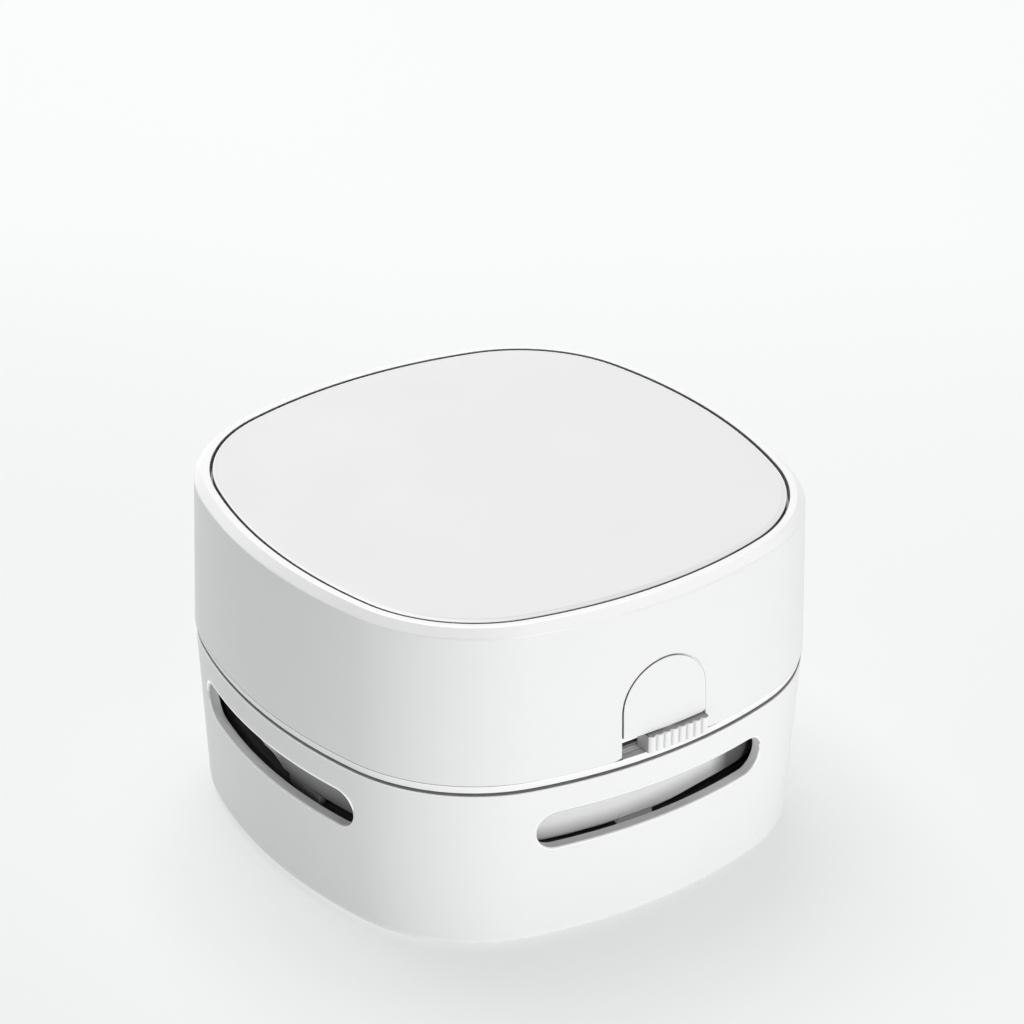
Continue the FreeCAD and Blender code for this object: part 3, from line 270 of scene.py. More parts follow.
def wall_rows(zs, hf, kf, out=1.0, phi=PHI):
    P, N = [], []
    for z in zs:
        x, y, nx, ny = plan(hf(z), phi)
        k = kf(z)
        w = out / math.sqrt(1 + k * k)
        P.append(np.stack([x, y, np.full_like(x, z)], 1))
        N.append(np.stack([nx * w, ny * w, np.full_like(x, -k * w)], 1))
    return P, N


def frame_of(q):
    a = q * math.pi / 2
    return np.array([math.cos(a), math.sin(a), 0]), np.array([-math.sin(a), math.cos(a), 0])


def wall3(x, z, hf, kf, q, out=1.0):
    """a point of the wall of side q from its width coordinate and height, with its normal"""
    x, z = np.asarray(x, float), np.asarray(z, float)
    h = np.array([hf(v) for v in z])
    k = np.array([kf(v) for v in z])
    R = h + SIDE_B
    side = np.abs(x) <= R * math.sin(TH) + 1e-9
    r2 = h - CORNER_D
    ax = np.abs(x) - CORNER_C
    o = np.where(side, np.sqrt(np.maximum(R * R - x * x, 0)) - SIDE_B,
                 CORNER_C + np.sqrt(np.maximum(r2 * r2 - ax * ax, 0)))
    nx = np.where(side, x / R, np.sign(x) * ax / r2)
    no = np.where(side, (o + SIDE_B) / R, (o - CORNER_C) / r2)
    n, t = frame_of(q)
    P = o[:, None] * n + x[:, None] * t
    P[:, 2] = z
    w = out / np.sqrt(1 + k * k)
    N = (no[:, None] * n + nx[:, None] * t) * w[:, None]
    N[:, 2] = -k * w
    return P, N


def block_loop(zs, hf, q, j1, j2):
    """the border of a block of wall cells, as (x, z) points, anticlockwise from lower left"""
    _, t = frame_of(q)
    zs = list(zs)

    def xat(j, z):
        x, y, _, _ = plan(hf(z), np.array([_dq[j] + q * math.pi / 2]))
        return x[0] * t[0] + y[0] * t[1]
    loop = [(xat(j, zs[0]), zs[0]) for j in range(j1, j2)]
    loop += [(xat(j2, z), z) for z in zs[:-1]]
    loop += [(xat(j, zs[-1]), zs[-1]) for j in range(j2, j1, -1)]
    loop += [(xat(j1, z), z) for z in reversed(zs[1:])]
    return np.array(loop)


def hole_rows(b, loop, base, dirs, r, hf, kf, hin, kin, q, rho, rho_in, zs_loop_in=None,
              layers=6, mat=0, lip_mat=None, closed=True, seg=5, back=None, low_mat=None, top_mat=None, line_mat=None, top_first=2):
    """wall round a hole: from the block border to the hole, over its rounded edge, through the
    wall, over the inner edge and back out to the inner border (or to a fixed depth back)"""
    n, t = frame_of(q)
    d3 = dirs[:, 0:1] * t + dirs[:, 1:2] * np.array([0, 0, 1.0])
    P, N = [], []
    start = base + dirs * (r + rho)
    for m in range(layers + 1):
        w = 1 - (m / layers)
        w = w ** 1.35
        p2 = start * (1 - w) + loop * w
        pp, nn = wall3(p2[:, 0], p2[:, 1], hf, kf, q)
        P.append(pp)
        N.append(nn)
    if line_mat is None:
        b.grid(P, N, wrap=closed, mat=mat)
    else:
        upper = dirs[:, 1] > 0.2
        inmost = lambda i, j: i == layers - 1 and bool(upper[j])
        b.grid(P, N, wrap=closed, mat=mat, skip=inmost)
        b.grid(P, N, wrap=closed, mat=line_mat, skip=lambda i, j: not inmost(i, j))
    P, N = [], []
    for k in range(seg + 1):
        be = k / seg * math.pi / 2
        p2 = base + dirs * (r + rho * (1 - math.sin(be)))
        pp, nn = wall3(p2[:, 0], p2[:, 1], hf, kf, q)
        P.append(pp - n * rho * (1 - math.cos(be)))
        N.append(nn * math.cos(be) - d3 * math.sin(be))
    if low_mat is None:
        b.grid(P, N, wrap=closed, mat=mat)
    else:
        low = dirs[:, 1] < -0.2
        high = dirs[:, 1] > 0.2
        topm = mat if top_mat is None else top_mat
        is_low = lambda i, j: bool(low[j])
        is_top = lambda i, j: bool(high[j]) and i >= top_first
        b.grid(P, N, wrap=closed, mat=mat, skip=lambda i, j: is_low(i, j) or is_top(i, j))
        b.grid(P, N, wrap=closed, mat=low_mat, skip=lambda i, j: not is_low(i, j))
        b.grid(P, N, wrap=closed, mat=topm, skip=lambda i, j: not is_top(i, j))
    lipm = mat if lip_mat is None else lip_mat
    outer = P[-1]
    p2 = base + dirs * r
    if back is not None:
        inner = outer.copy()
        o = inner @ n
        inner = inner - (o - back)[:, None] * n
        b.grid([outer, inner], [-d3, -d3], wrap=closed, mat=lipm)
        return
    pin, _ = wall3(p2[:, 0], p2[:, 1], hin, kin, q)
    inner = pin + n * rho_in
    b.grid([outer, inner], [-d3, -d3], wrap=closed, mat=lipm)
    P, N = [], []
    for k in range(seg + 1):
        be = (1 - k / seg) * math.pi / 2
        p2 = base + dirs * (r + rho_in * (1 - math.sin(be)))
        pp, nn = wall3(p2[:, 0], p2[:, 1], hin, kin, q, out=-1.0)
        P.append(pp + n * rho_in * (1 - math.cos(be)))
        N.append(nn * math.cos(be) - d3 * math.sin(be))
    b.grid(P, N, wrap=closed, mat=mat)
    P, N = [], []
    start = base + dirs * (r + rho_in)
    for m in range(layers + 1):
        w = (m / layers) ** 1.35
        p2 = start * (1 - w) + zs_loop_in * w
        pp, nn = wall3(p2[:, 0], p2[:, 1], hin, kin, q, out=-1.0)
        P.append(pp)
        N.append(nn)
    b.grid(P, N, wrap=closed, mat=mat)


# =====================================================================================
# Materials
# =====================================================================================
class Nodes:
    def __init__(self, name):
        self.m = bpy.data.materials.new(name)
        self.m.use_nodes = True
        self.t = self.m.node_tree
        self.bsdf = next(n for n in self.t.nodes if n.type == "BSDF_PRINCIPLED")
        self.out = next(n for n in self.t.nodes if n.type == "OUTPUT_MATERIAL")
        self.co = self.node("ShaderNodeTexCoord").outputs["Object"]

    def node(self, kind, **kw):
        n = self.t.nodes.new(kind)
        for k, v in kw.items():
            setattr(n, k, v)
        return n

    def link(self, a, b):
        self.t.links.new(a, b)

    def noise(self, scale, detail=3.0, rough=0.55, vec=None, distortion=0.0):
        n = self.node("ShaderNodeTexNoise")
        n.inputs["Scale"].default_value = scale
        n.inputs["Detail"].default_value = detail
        n.inputs["Roughness"].default_value = rough
        n.inputs["Distortion"].default_value = distortion
        self.link(vec if vec is not None else self.co, n.inputs["Vector"])
        return n.outputs["Fac"]

    def mapping(self, scale=(1, 1, 1), rot=(0, 0, 0), loc=(0, 0, 0), vec=None):
        n = self.node("ShaderNodeMapping")
        n.inputs["Scale"].default_value = scale
        n.inputs["Rotation"].default_value = rot
        n.inputs["Location"].default_value = loc
        self.link(vec if vec is not None else self.co, n.inputs["Vector"])
        return n.outputs["Vector"]

    def voronoi(self, scale, feature="F1", vec=None, rand=1.0):
        n = self.node("ShaderNodeTexVoronoi", feature=feature)
        n.inputs["Scale"].default_value = scale
        n.inputs["Randomness"].default_value = rand
        self.link(vec if vec is not None else self.co, n.inputs["Vector"])
        return n.outputs["Distance"]

    def ramp(self, fac, lo, hi, a=0.0, b=1.0):
        n = self.node("ShaderNodeMapRange")
        n.inputs["From Min"].default_value = lo
        n.inputs["From Max"].default_value = hi
        n.inputs["To Min"].default_value = a
        n.inputs["To Max"].default_value = b
        self.link(fac, n.inputs["Value"])
        return n.outputs["Result"]

    def math(self, op, a, b=None):
        n = self.node("ShaderNodeMath", operation=op)
        for i, v in enumerate((a, b)):
            if v is None:
                continue
            if isinstance(v, (int, float)):
                n.inputs[i].default_value = v
            else:
                self.link(v, n.inputs[i])
        return n.outputs[0]

    def mix(self, fac, a, b):
        n = self.node("ShaderNodeMix", data_type="RGBA")
        for sock, v in (("Factor", fac), (6, a), (7, b)):
            s = n.inputs[0] if sock == "Factor" else n.inputs[sock]
            if isinstance(v, (int, float)):
                s.default_value = v
            elif isinstance(v, (tuple, list)):
                s.default_value = (*v, 1.0)
            else:
                self.link(v, s)
        return n.outputs[2]

    def pointy(self, lo, hi):
        g = self.node("ShaderNodeNewGeometry")
        return self.ramp(g.outputs["Pointiness"], lo, hi)

    def bump(self, height, strength, distance, normal=None):
        n = self.node("ShaderNodeBump")
        n.inputs["Strength"].default_value = strength
        n.inputs["Distance"].default_value = distance
        self.link(height, n.inputs["Height"])
        if normal is not None:
            self.link(normal, n.inputs["Normal"])
        return n.outputs["Normal"]

    def set(self, **kw):
        for k, v in kw.items():
            self.bsdf.inputs[k.replace("_", " ")].default_value = v

    def put(self, sock, what):
        self.link(what, self.bsdf.inputs[sock])


def shade(c, k):
    return tuple(min(1.0, v * k) for v in c)


def plastic(name, col, rough=0.36, spread=0.05, tone=0.018, grain=0.35, grain_scale=5200.0, ior=1.47, edge=0.03,
            peel=0.10, tints=(), glow=None):
    """moulded plastic: a fine spark-eroded grain, slow tone and gloss variation, rubbed edges.
    Each tint gives a share and a colour that lies over the plastic by place."""
    w = Nodes(name)
    slow = w.noise(38.0, 4.0, 0.6)
    cloud = w.noise(210.0, 3.0, 0.55)
    fine = w.noise(grain_scale, 2.0, 0.5)
    wear = w.pointy(0.515, 0.60)
    c = w.mix(w.ramp(slow, 0.3, 0.7), shade(col, 1 - tone), shade(col, 1 + tone * 0.6))
    c = w.mix(w.math("MULTIPLY", w.ramp(cloud, 0.45, 0.75), 0.35), c, shade(col, 1 - tone * 1.6))
    c = w.mix(w.math("MULTIPLY", wear, edge * 6), c, shade(col, 1.05))
    for tint in tints:
        fac, over = tint(w, cloud)
        c = w.mix(fac, c, over)
    w.put("Base Color", c)
    r = w.math("ADD", w.ramp(slow, 0.25, 0.75, rough - spread, rough + spread),
               w.ramp(cloud, 0.3, 0.7, -spread * 0.4, spread * 0.4))
    r = w.math("ADD", r, w.math("MULTIPLY", wear, -0.06))
    w.put("Roughness", r)
    n1 = w.bump(fine, grain, 0.000006)
    n2 = w.bump(w.noise(620.0, 2.0, 0.5), peel, 0.00001, n1)
    w.put("Normal", n2)
    w.set(IOR=ior)
    # glow is painted light: white emission by place where the plastic should look lit
    if glow is not None:
        where, strength = glow
        w.put("Emission Color", w.mix(where(w), (0.0, 0.0, 0.0), (1.0, 1.0, 1.0)))
        w.set(Emission_Strength=strength)
    return w.m


def rubber(name, col, rough=0.72):
    w = Nodes(name)
    slow = w.noise(90.0, 4.0, 0.6)
    dust = w.noise(900.0, 5.0, 0.65)
    c = w.mix(w.ramp(slow, 0.3, 0.7), shade(col, 0.88), shade(col, 1.12))
    c = w.mix(w.math("MULTIPLY", w.ramp(dust, 0.56, 0.74), 0.35), c, shade(col, 2.0))
    w.put("Base Color", c)
    w.put("Roughness", w.ramp(dust, 0.3, 0.7, rough - 0.08, rough + 0.1))
    w.put("Normal", w.bump(w.noise(3600.0, 3.0, 0.6), 0.5, 0.00002))
    w.set(IOR=1.5)
    return w.m


def metal(name, col, rough=0.28, lines=(1, 1, 60), tarnish=0.12, turned=False):
    """metal with drawn or turned marks, a little tarnish and fine scratches"""
    w = Nodes(name)
    vec = w.mapping(scale=lines)
    marks = w.noise(900.0, 3.0, 0.65, vec=vec)
    slow = w.noise(160.0, 4.0, 0.6)
    spots = w.noise(1400.0, 5.0, 0.7)
    c = w.mix(w.ramp(marks, 0.3, 0.7), shade(col, 0.9), shade(col, 1.08))
    c = w.mix(w.math("MULTIPLY", w.ramp(slow, 0.5, 0.8), tarnish * 2), c, shade(col, 0.6))
    c = w.mix(w.math("MULTIPLY", w.ramp(spots, 0.62, 0.8), tarnish), c, shade(col, 0.45))
    w.put("Base Color", c)
    r = w.math("ADD", w.ramp(marks, 0.3, 0.7, rough - 0.08, rough + 0.08), w.ramp(slow, 0.4, 0.8, 0.0, 0.12))
    w.put("Roughness", r)
    w.put("Normal", w.bump(marks, 0.25, 0.000012))
    w.set(Metallic=1.0)
    return w.m


def foam(name, col):
    """open-cell foam: round pores with thin webs"""
    w = Nodes(name)
    cell = w.voronoi(1500.0)
    big = w.voronoi(620.0)
    c = w.mix(w.ramp(cell, 0.15, 0.6), shade(col, 0.25), shade(col, 1.25))
    c = w.mix(w.math("MULTIPLY", w.ramp(big, 0.3, 0.7), 0.35), c, shade(col, 1.6))
    w.put("Base Color", c)
    w.put("Roughness", w.ramp(cell, 0.2, 0.6, 0.98, 0.82))
    w.put("Normal", w.bump(w.math("ADD", cell, w.math("MULTIPLY", big, 0.6)), 1.0, 0.0005))
    w.set(IOR=1.4)
    w.set(**{"Sheen_Weight": 0.15})
    return w.m


def woven(name, col):
    """fine woven wire cloth"""
    w = Nodes(name)
    sep = w.node("ShaderNodeSeparateXYZ")
    w.link(w.co, sep.inputs[0])
    step = 2 * math.pi / 0.0009
    sx = w.math("SINE", w.math("MULTIPLY", sep.outputs[0], step))
    sy = w.math("SINE", w.math("MULTIPLY", sep.outputs[1], step))
    wires = w.math("MAXIMUM", w.math("ABSOLUTE", sx), w.math("ABSOLUTE", sy))
    c = w.mix(w.ramp(wires, 0.45, 0.8), (0.02, 0.02, 0.022), col)
    w.put("Base Color", c)
    w.put("Metallic", w.ramp(wires, 0.45, 0.7))
    w.put("Roughness", w.ramp(wires, 0.4, 0.9, 0.8, 0.34))
    w.put("Normal", w.bump(wires, 0.9, 0.00015))
    return w.m


def copper_windings(name):
    """the armature: copper in fine bands along its height"""
    w = Nodes(name)
    sep = w.node("ShaderNodeSeparateXYZ")
    w.link(w.co, sep.inputs[0])
    lam = w.math("SINE", w.math("MULTIPLY", sep.outputs[2], 2 * math.pi / 0.0005))
    tone = w.noise(600.0, 4.0, 0.6)
    c = w.mix(w.ramp(lam, -0.4, 0.4), (0.36, 0.15, 0.07), (0.72, 0.36, 0.18))
    c = w.mix(w.math("MULTIPLY", w.ramp(tone, 0.4, 0.7), 0.4), c, (0.30, 0.13, 0.07))
    w.put("Base Color", c)
    w.put("Roughness", w.ramp(tone, 0.3, 0.7, 0.28, 0.42))
    w.put("Normal", w.bump(lam, 0.6, 0.00008))
    w.set(Metallic=0.9)
    return w.m


def cell_sleeve(name, axis_len=0.0495):
    """a printed shrink sleeve without any print but a plain band, bare metal at both ends"""
    w = Nodes(name)
    sep = w.node("ShaderNodeSeparateXYZ")
    w.link(w.co, sep.inputs[0])
    x = sep.outputs[0]
    y = sep.outputs[1]
    # the two cells lie in opposite directions: y picks the side that gets the band
    band_a = w.math("MULTIPLY", w.math("GREATER_THAN", y, 0.0), w.math("GREATER_THAN", x, 0.0125))
    band_b = w.math("MULTIPLY", w.math("LESS_THAN", y, 0.0), w.math("LESS_THAN", x, -0.0125))
    band = w.math("MAXIMUM", band_a, band_b)
    bare = w.math("GREATER_THAN", w.math("ABSOLUTE", x), axis_len / 2 - 0.0003)
    scuff = w.noise(420.0, 5.0, 0.65)
    lengthwise = w.noise(500.0, 3.0, 0.6, vec=w.mapping(scale=(0.08, 1, 1)))
    base = w.mix(w.ramp(lengthwise, 0.3, 0.7), (0.012, 0.085, 0.14), (0.016, 0.105, 0.17))
    gold = w.mix(w.ramp(lengthwise, 0.3, 0.7), (0.62, 0.44, 0.22), (0.72, 0.53, 0.28))
    c = w.mix(band, base, gold)
    c = w.mix(bare, c, (0.62, 0.61, 0.58))
    c = w.mix(w.math("MULTIPLY", w.ramp(scuff, 0.58, 0.8), 0.25), c, (0.35, 0.36, 0.36))
    w.put("Base Color", c)
    w.put("Metallic", w.math("MAXIMUM", w.math("MULTIPLY", band, 0.85), bare))
    w.put("Roughness", w.math("ADD", w.ramp(scuff, 0.3, 0.75, 0.16, 0.34), w.math("MULTIPLY", bare, 0.1)))
    w.put("Normal", w.bump(w.noise(260.0, 2.0, 0.5), 0.12, 0.00006))
    w.set(Coat_Weight=0.4, Coat_Roughness=0.12)
    return w.m


def xyz(w):
    sep = w.node("ShaderNodeSeparateXYZ")
    w.link(w.co, sep.inputs[0])
    return sep.outputs[0], sep.outputs[1], sep.outputs[2]


def along(w, x, y):
    """distance along a side, the same for all four sides"""
    m = w.math("GREATER_THAN", w.math("ABSOLUTE", y), w.math("ABSOLUTE", x))
    t1 = w.math("MULTIPLY", w.math("MULTIPLY", w.math("SIGN", y), -1.0), x)
    t2 = w.math("MULTIPLY", w.math("SIGN", x), y)
    return w.math("ADD", w.math("MULTIPLY", t1, m), w.math("MULTIPLY", t2, w.math("SUBTRACT", 1.0, m)))


def skirt_foot_shade(w, cloud):
    """painted shade on the skirt, darker toward its foot"""
    x, y, z = xyz(w)
    up = w.math("SUBTRACT", z, w.ramp(along(w, x, y), -0.004, 0.012, 0.0, 0.0011))
    low = w.math("MULTIPLY", w.ramp(up, 0.0174, 0.0195, 1.0, 0.0), w.ramp(z, 0.0260, 0.0240))
    low = w.math("MULTIPLY", low, w.ramp(cloud, 0.2, 0.8, 0.55, 0.70))
    low = w.math("MULTIPLY", low, w.ramp(x, -0.034, -0.028, 0.15, 1.0))
    return low, (0.30, 0.30, 0.295)


def outlet_end_shade(w, cloud):
    """painted shade on the skirt toward one end of each outlet, and over the skirt behind the left slot"""
    x, y, z = xyz(w)
    reach = w.math("MULTIPLY", w.math("LESS_THAN", x, -0.03), 0.0164)
    t = w.math("ADD", along(w, x, y), reach)
    f = w.ramp(t, 0.0125, 0.0162)
    f = w.math("MULTIPLY", f, w.ramp(z, 0.0270, 0.0245))
    f = w.math("MULTIPLY", f, w.ramp(x, -0.034, -0.028, 0.64, 0.97))
    f = w.math("MULTIPLY", f, w.ramp(along(w, x, y), 0.0290, 0.0235))
    return f, (0.09, 0.09, 0.09)


def recess_painted_shade(w, cloud):
    """the recess behind the knob: painted shade on its back wall below the slit"""
    x, y, z = xyz(w)
    low = w.math("MULTIPLY", w.math("GREATER_THAN", z, 0.03020), w.math("LESS_THAN", z, 0.03110))
    return low, (0.20, 0.20, 0.20)


def lip_paint(w, cloud):
    """painted shade in the arch gap: darkest on the left leg and lightest on the right"""
    x, y, z = xyz(w)
    return w.ramp(x, -0.006, 0.0074), (0.90, 0.90, 0.90)


def window_lines(w, cloud):
    """the tapered shadow lines that run out of the window's lower corners"""
    x, y, z = xyz(w)
    ax = w.math("ABSOLUTE", x)
    taper = w.math("MULTIPLY", w.ramp(ax, 0.0076, 0.0089, 0.00038, -0.00002), w.math("GREATER_THAN", ax, 0.00755))
    f = w.math("LESS_THAN", w.math("ABSOLUTE", w.math("SUBTRACT", z, 0.03007)), taper)
    return w.math("MULTIPLY", f, w.math("LESS_THAN", y, -0.0415)), (0.10, 0.10, 0.10)


def foot_groove_shade(w, cloud):
    """painted shade in the fine groove round the wall's foot, most of it on the left"""
    x, y, z = xyz(w)
    f = w.math("MAXIMUM", w.ramp(x, -0.020, -0.027, 0.18, 1.0), w.ramp(w.math("MAXIMUM", x, y), 0.026, 0.034, 0.0, 0.6))
    f = w.math("MULTIPLY", f, w.math("LESS_THAN", w.math("ABSOLUTE", w.math("SUBTRACT", z, 0.03006)), 0.00008))
    clear = w.math("MAXIMUM", w.math("GREATER_THAN", w.math("ABSOLUTE", x), 0.0092), w.math("GREATER_THAN", y, 0.0))
    return w.math("MULTIPLY", f, clear), (0.40, 0.40, 0.40)


def lip_depth(w, cloud):
    """painted shade: the left slot's lip darkens from the inner to the outer edge"""
    x, y, z = xyz(w)
    dx = w.math("SUBTRACT", x, 0.03815)
    r = w.math("SQRT", w.math("ADD", w.math("MULTIPLY", dx, dx), w.math("MULTIPLY", y, y)))
    return w.ramp(r, 0.07905, 0.08045), (0.56, 0.56, 0.56)


def front_chamfer(w, cloud):
    """painted shade: the chamfer is darker round the front"""
    x, y, z = xyz(w)
    return w.ramp(y, 0.012, -0.020), (0.77, 0.77, 0.77)


def front_chamfer2(w, cloud):
    """painted light: lighter again in the middle of the front"""
    x, y, z = xyz(w)
    return w.math("MULTIPLY", w.ramp(w.math("ABSOLUTE", x), 0.034, 0.022), w.ramp(y, -0.03, -0.04)), (0.86, 0.86, 0.86)


def front_strip(w, cloud):
    """painted shade: the cover's edge is darker along the front, less so to the right"""
    x, y, z = xyz(w)
    return w.math("MULTIPLY", w.ramp(y, -0.024, -0.034), w.ramp(x, -0.004, 0.020, 1.0, 0.45)), (0.68, 0.68, 0.68)


def fan_left_tone(w, cloud):
    """what lies behind the left slot is lighter"""
    x, y, z = xyz(w)
    return w.ramp(x, -0.014, -0.022), (0.145, 0.145, 0.147)


def right_end(w):
    """painted light: glow on the front slot's right end"""
    x, y, z = xyz(w)
    return w.math("MULTIPLY", w.ramp(x, 0.005, 0.015), w.math("LESS_THAN", y, -0.03))


def front_lug(w):
    """painted light: glow on the small foot under the skirt's front edge"""
    x, y, z = xyz(w)
    f = w.math("MULTIPLY", w.ramp(z, 0.01690, 0.01682), w.math("LESS_THAN", y, -0.03))
    return w.math("MULTIPLY", f, w.math("LESS_THAN", w.math("ABSOLUTE", w.math("ADD", x, 0.0025)), 0.0036))


def left_side(w):
    # painted highlight: where the bin's top edge glows, on the left side
    x, y, z = xyz(w)
    return w.ramp(x, -0.026, -0.036)


def under_pad(w):
    """painted light: glow on the recess's back wall above the slit"""
    x, y, z = xyz(w)
    return w.math("MULTIPLY", w.math("GREATER_THAN", z, 0.03142), w.math("LESS_THAN", y, -0.0408))


WHITE = (0.865, 0.865, 0.865)
MAT = {
    "shell_white": plastic("shell_white", WHITE, tone=0.010),
    "knob_white": plastic("knob_white", (0.88, 0.88, 0.88), rough=0.40, grain=0.25),
    "inner_white": plastic("inner_white", (0.74, 0.745, 0.735), rough=0.46, tone=0.03, grain=0.5),
    # skirt_white: painted shade toward its foot and at the outlet ends, painted light (glow) on its front lug
    "skirt_white": plastic("skirt_white", (0.735, 0.738, 0.735), rough=0.40, tone=0.02, tints=(skirt_foot_shade, outlet_end_shade),
                           glow=(front_lug, 0.10)),
    "charcoal_plastic": plastic("charcoal_plastic", (0.060, 0.060, 0.062), rough=0.45, tone=0.10, grain=0.6, edge=0.08,
                                tints=(fan_left_tone,)),
    "cup_grey": plastic("cup_grey", (0.22, 0.228, 0.235), rough=0.42, tone=0.05, grain=0.5),
    "nozzle_grey": plastic("nozzle_grey", (0.55, 0.56, 0.56), rough=0.44, tone=0.03, grain=0.5),
    "bristle_nylon": plastic("bristle_nylon", (0.66, 0.67, 0.65), rough=0.50, tone=0.05, grain=0.2),
    "foot_rubber": rubber("foot_rubber", (0.11, 0.11, 0.118)),
    "seal_rubber": rubber("seal_rubber", (0.06, 0.06, 0.065)),
    "filter_steel": woven("filter_steel", (0.60, 0.60, 0.61)),
    "filter_foam": foam("filter_foam", (0.10, 0.105, 0.11)),
    "screw_steel": metal("screw_steel", (0.58, 0.58, 0.59), rough=0.30, lines=(1, 1, 8)),
    "motor_steel": metal("motor_steel", (0.60, 0.61, 0.62), rough=0.26, lines=(1, 1, 0.06)),
    "cap_nylon": plastic("cap_nylon", (0.70, 0.68, 0.60), rough=0.50, tone=0.04, grain=0.4),
    "bush_brass": metal("bush_brass", (0.72, 0.50, 0.22), rough=0.24, lines=(1, 1, 20)),
    "magnet_ferrite": plastic("magnet_ferrite", (0.055, 0.055, 0.058), rough=0.62, tone=0.14, grain=1.0,
                              grain_scale=2600.0),
    "armature_copper": copper_windings("armature_copper"),
    "cell_sleeve": cell_sleeve("cell_sleeve"),
    "contact_nickel": metal("contact_nickel", (0.70, 0.68, 0.64), rough=0.20, lines=(1, 1, 1), tarnish=0.08),
    "lead_red": plastic("lead_red", (0.45, 0.020, 0.016), rough=0.28, tone=0.06, grain=0.1),
    "lead_black": plastic("lead_black", (0.014, 0.014, 0.014), rough=0.30, tone=0.10, grain=0.1),
}
# gap_grey: painted shade on the faces inside the seams and gaps
MAT_GAP = plastic("gap_grey", (0.30, 0.30, 0.30), rough=0.6, tone=0.1)
MAT_COVER = plastic("cover_white", (0.80, 0.80, 0.80), rough=0.38, tone=0.006)
# wall_white: painted shade lines in the foot groove and at the window's lower corners
MAT_WALL = plastic("wall_white", WHITE, tone=0.010, tints=(foot_groove_shade, window_lines))
# edge_white: a lighter copy of the shell white with a glow (set below), painted highlight on edges
MAT_BRIGHT = plastic("edge_white", (0.95, 0.95, 0.95), rough=0.34)
# cover_edge: a lighter copy of the cover white, painted highlight on the edge rounding; cover_edge and cover_strip
# carry front_strip's painted shade
MAT_RIM = plastic("cover_edge", (0.93, 0.93, 0.93), rough=0.38, tints=(front_strip,))
MAT_STRIP = plastic("cover_strip", (0.80, 0.80, 0.80), rough=0.38, tone=0.006, tints=(front_strip,))
# slot_top: painted shade on the front slots' upper edge rounding
MAT_DIP = plastic("slot_top", (0.50, 0.50, 0.50), rough=0.45, tone=0.04)
# seat_edge: a lighter copy of the shell white with a glow on the left, painted highlight on the bin's top edge
MAT_EDGE = plastic("seat_edge", (0.92, 0.92, 0.92), rough=0.36, glow=(left_side, 0.16))
# bin_seat: painted shade on the bin rim's flat top, inside the parting gap
MAT_SEAT = plastic("bin_seat", (0.60, 0.60, 0.60), rough=0.5, tone=0.06)
# slot_line and slot_line_front: lighter copies of the shell white, painted highlight just above the slots' upper edges;
# slot_line also glows
MAT_LINE2 = plastic("slot_line", (0.95, 0.95, 0.95), rough=0.34)
MAT_LINE = plastic("slot_line_front", (0.92, 0.92, 0.92), rough=0.34)
# band_white: a lighter copy of the shell white, painted light on the slanted band
MAT_BAND = plastic("band_white", (0.90, 0.90, 0.90))
# rim_white: a lighter copy of the shell white, painted highlight on the rim's flat
MAT_RIMTOP = plastic("rim_white", (0.92, 0.92, 0.92), rough=0.34, tone=0.006)
# chamfer_white: a lighter copy of the shell white with a glow (set below), painted light, and painted shade round the
# front
MAT_CHAMFER = plastic("chamfer_white", (0.95, 0.95, 0.95), rough=0.34, tints=(front_chamfer, front_chamfer2))
MAT_DARK = plastic("sill_grey", (0.74, 0.74, 0.74), rough=0.55, tone=0.05)
# slot_lip: greyer than the shell, painted shade, with painted light (glow) at the front slot's right end
MAT_SLOT = plastic("slot_lip", (0.77, 0.77, 0.77), rough=0.48, tone=0.04, glow=(right_end, 0.14))
# slot_lip_left: painted shade across the lip and painted light (glow, set below)
MAT_SLOT2 = plastic("slot_lip_left", (0.92, 0.92, 0.92), rough=0.48, tone=0.04, tints=(lip_depth,))
# painted light: a fixed white glow on slot_lip_left, edge_white, slot_line and chamfer_white
for lit, glow in ((MAT_SLOT2, 0.075), (MAT_BRIGHT, 0.06), (MAT_LINE2, 0.42), (MAT_CHAMFER, 0.05)):
    core = next(n for n in lit.node_tree.nodes if n.type == "BSDF_PRINCIPLED")
    core.inputs["Emission Color"].default_value = (1.0, 1.0, 1.0, 1.0)
    core.inputs["Emission Strength"].default_value = glow
# knob_side: painted shade on the knob's top, bottom, back and end faces
MAT_SIDE = plastic("knob_side", (0.45, 0.45, 0.45), rough=0.5, tone=0.08)
# knob_valley: painted shade in the valleys between the knob's ribs
MAT_VALLEY = plastic("knob_valley", (0.74, 0.74, 0.74), rough=0.5, tone=0.04)
# recess_white: painted shade below the slit and painted light (glow) above it
MAT_RECESS = plastic("recess_white", (0.78, 0.78, 0.78), rough=0.45, tints=(recess_painted_shade,), glow=(under_pad, 0.42))
# arch_gap: painted shade on the faces inside the gap round the pad
MAT_ARCH = plastic("arch_gap", (0.14, 0.14, 0.14), rough=0.6, tone=0.08, tints=(lip_paint,))
SLOT = {s["node"]: s["material_slot"] for s in frame["record"]["subparts"]}
for node, ob in frame["nodes"].items():
    ob.data.materials.clear()
    ob.data.materials.append(MAT[SLOT[node]])


def settle(ob, body, slot, *nodes):
    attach(ob, body)
    if nodes:
        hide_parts(*nodes)
    return ob


# =====================================================================================
# Dust bin shell
# =====================================================================================
T3 = math.tan(3 * RAD)


def bin_h(z):
    return 41.8 + (z - 0.8) * T3


def bin_in(z):
    return bin_h(z) - 1.8


def k_bin(z):
    return T3


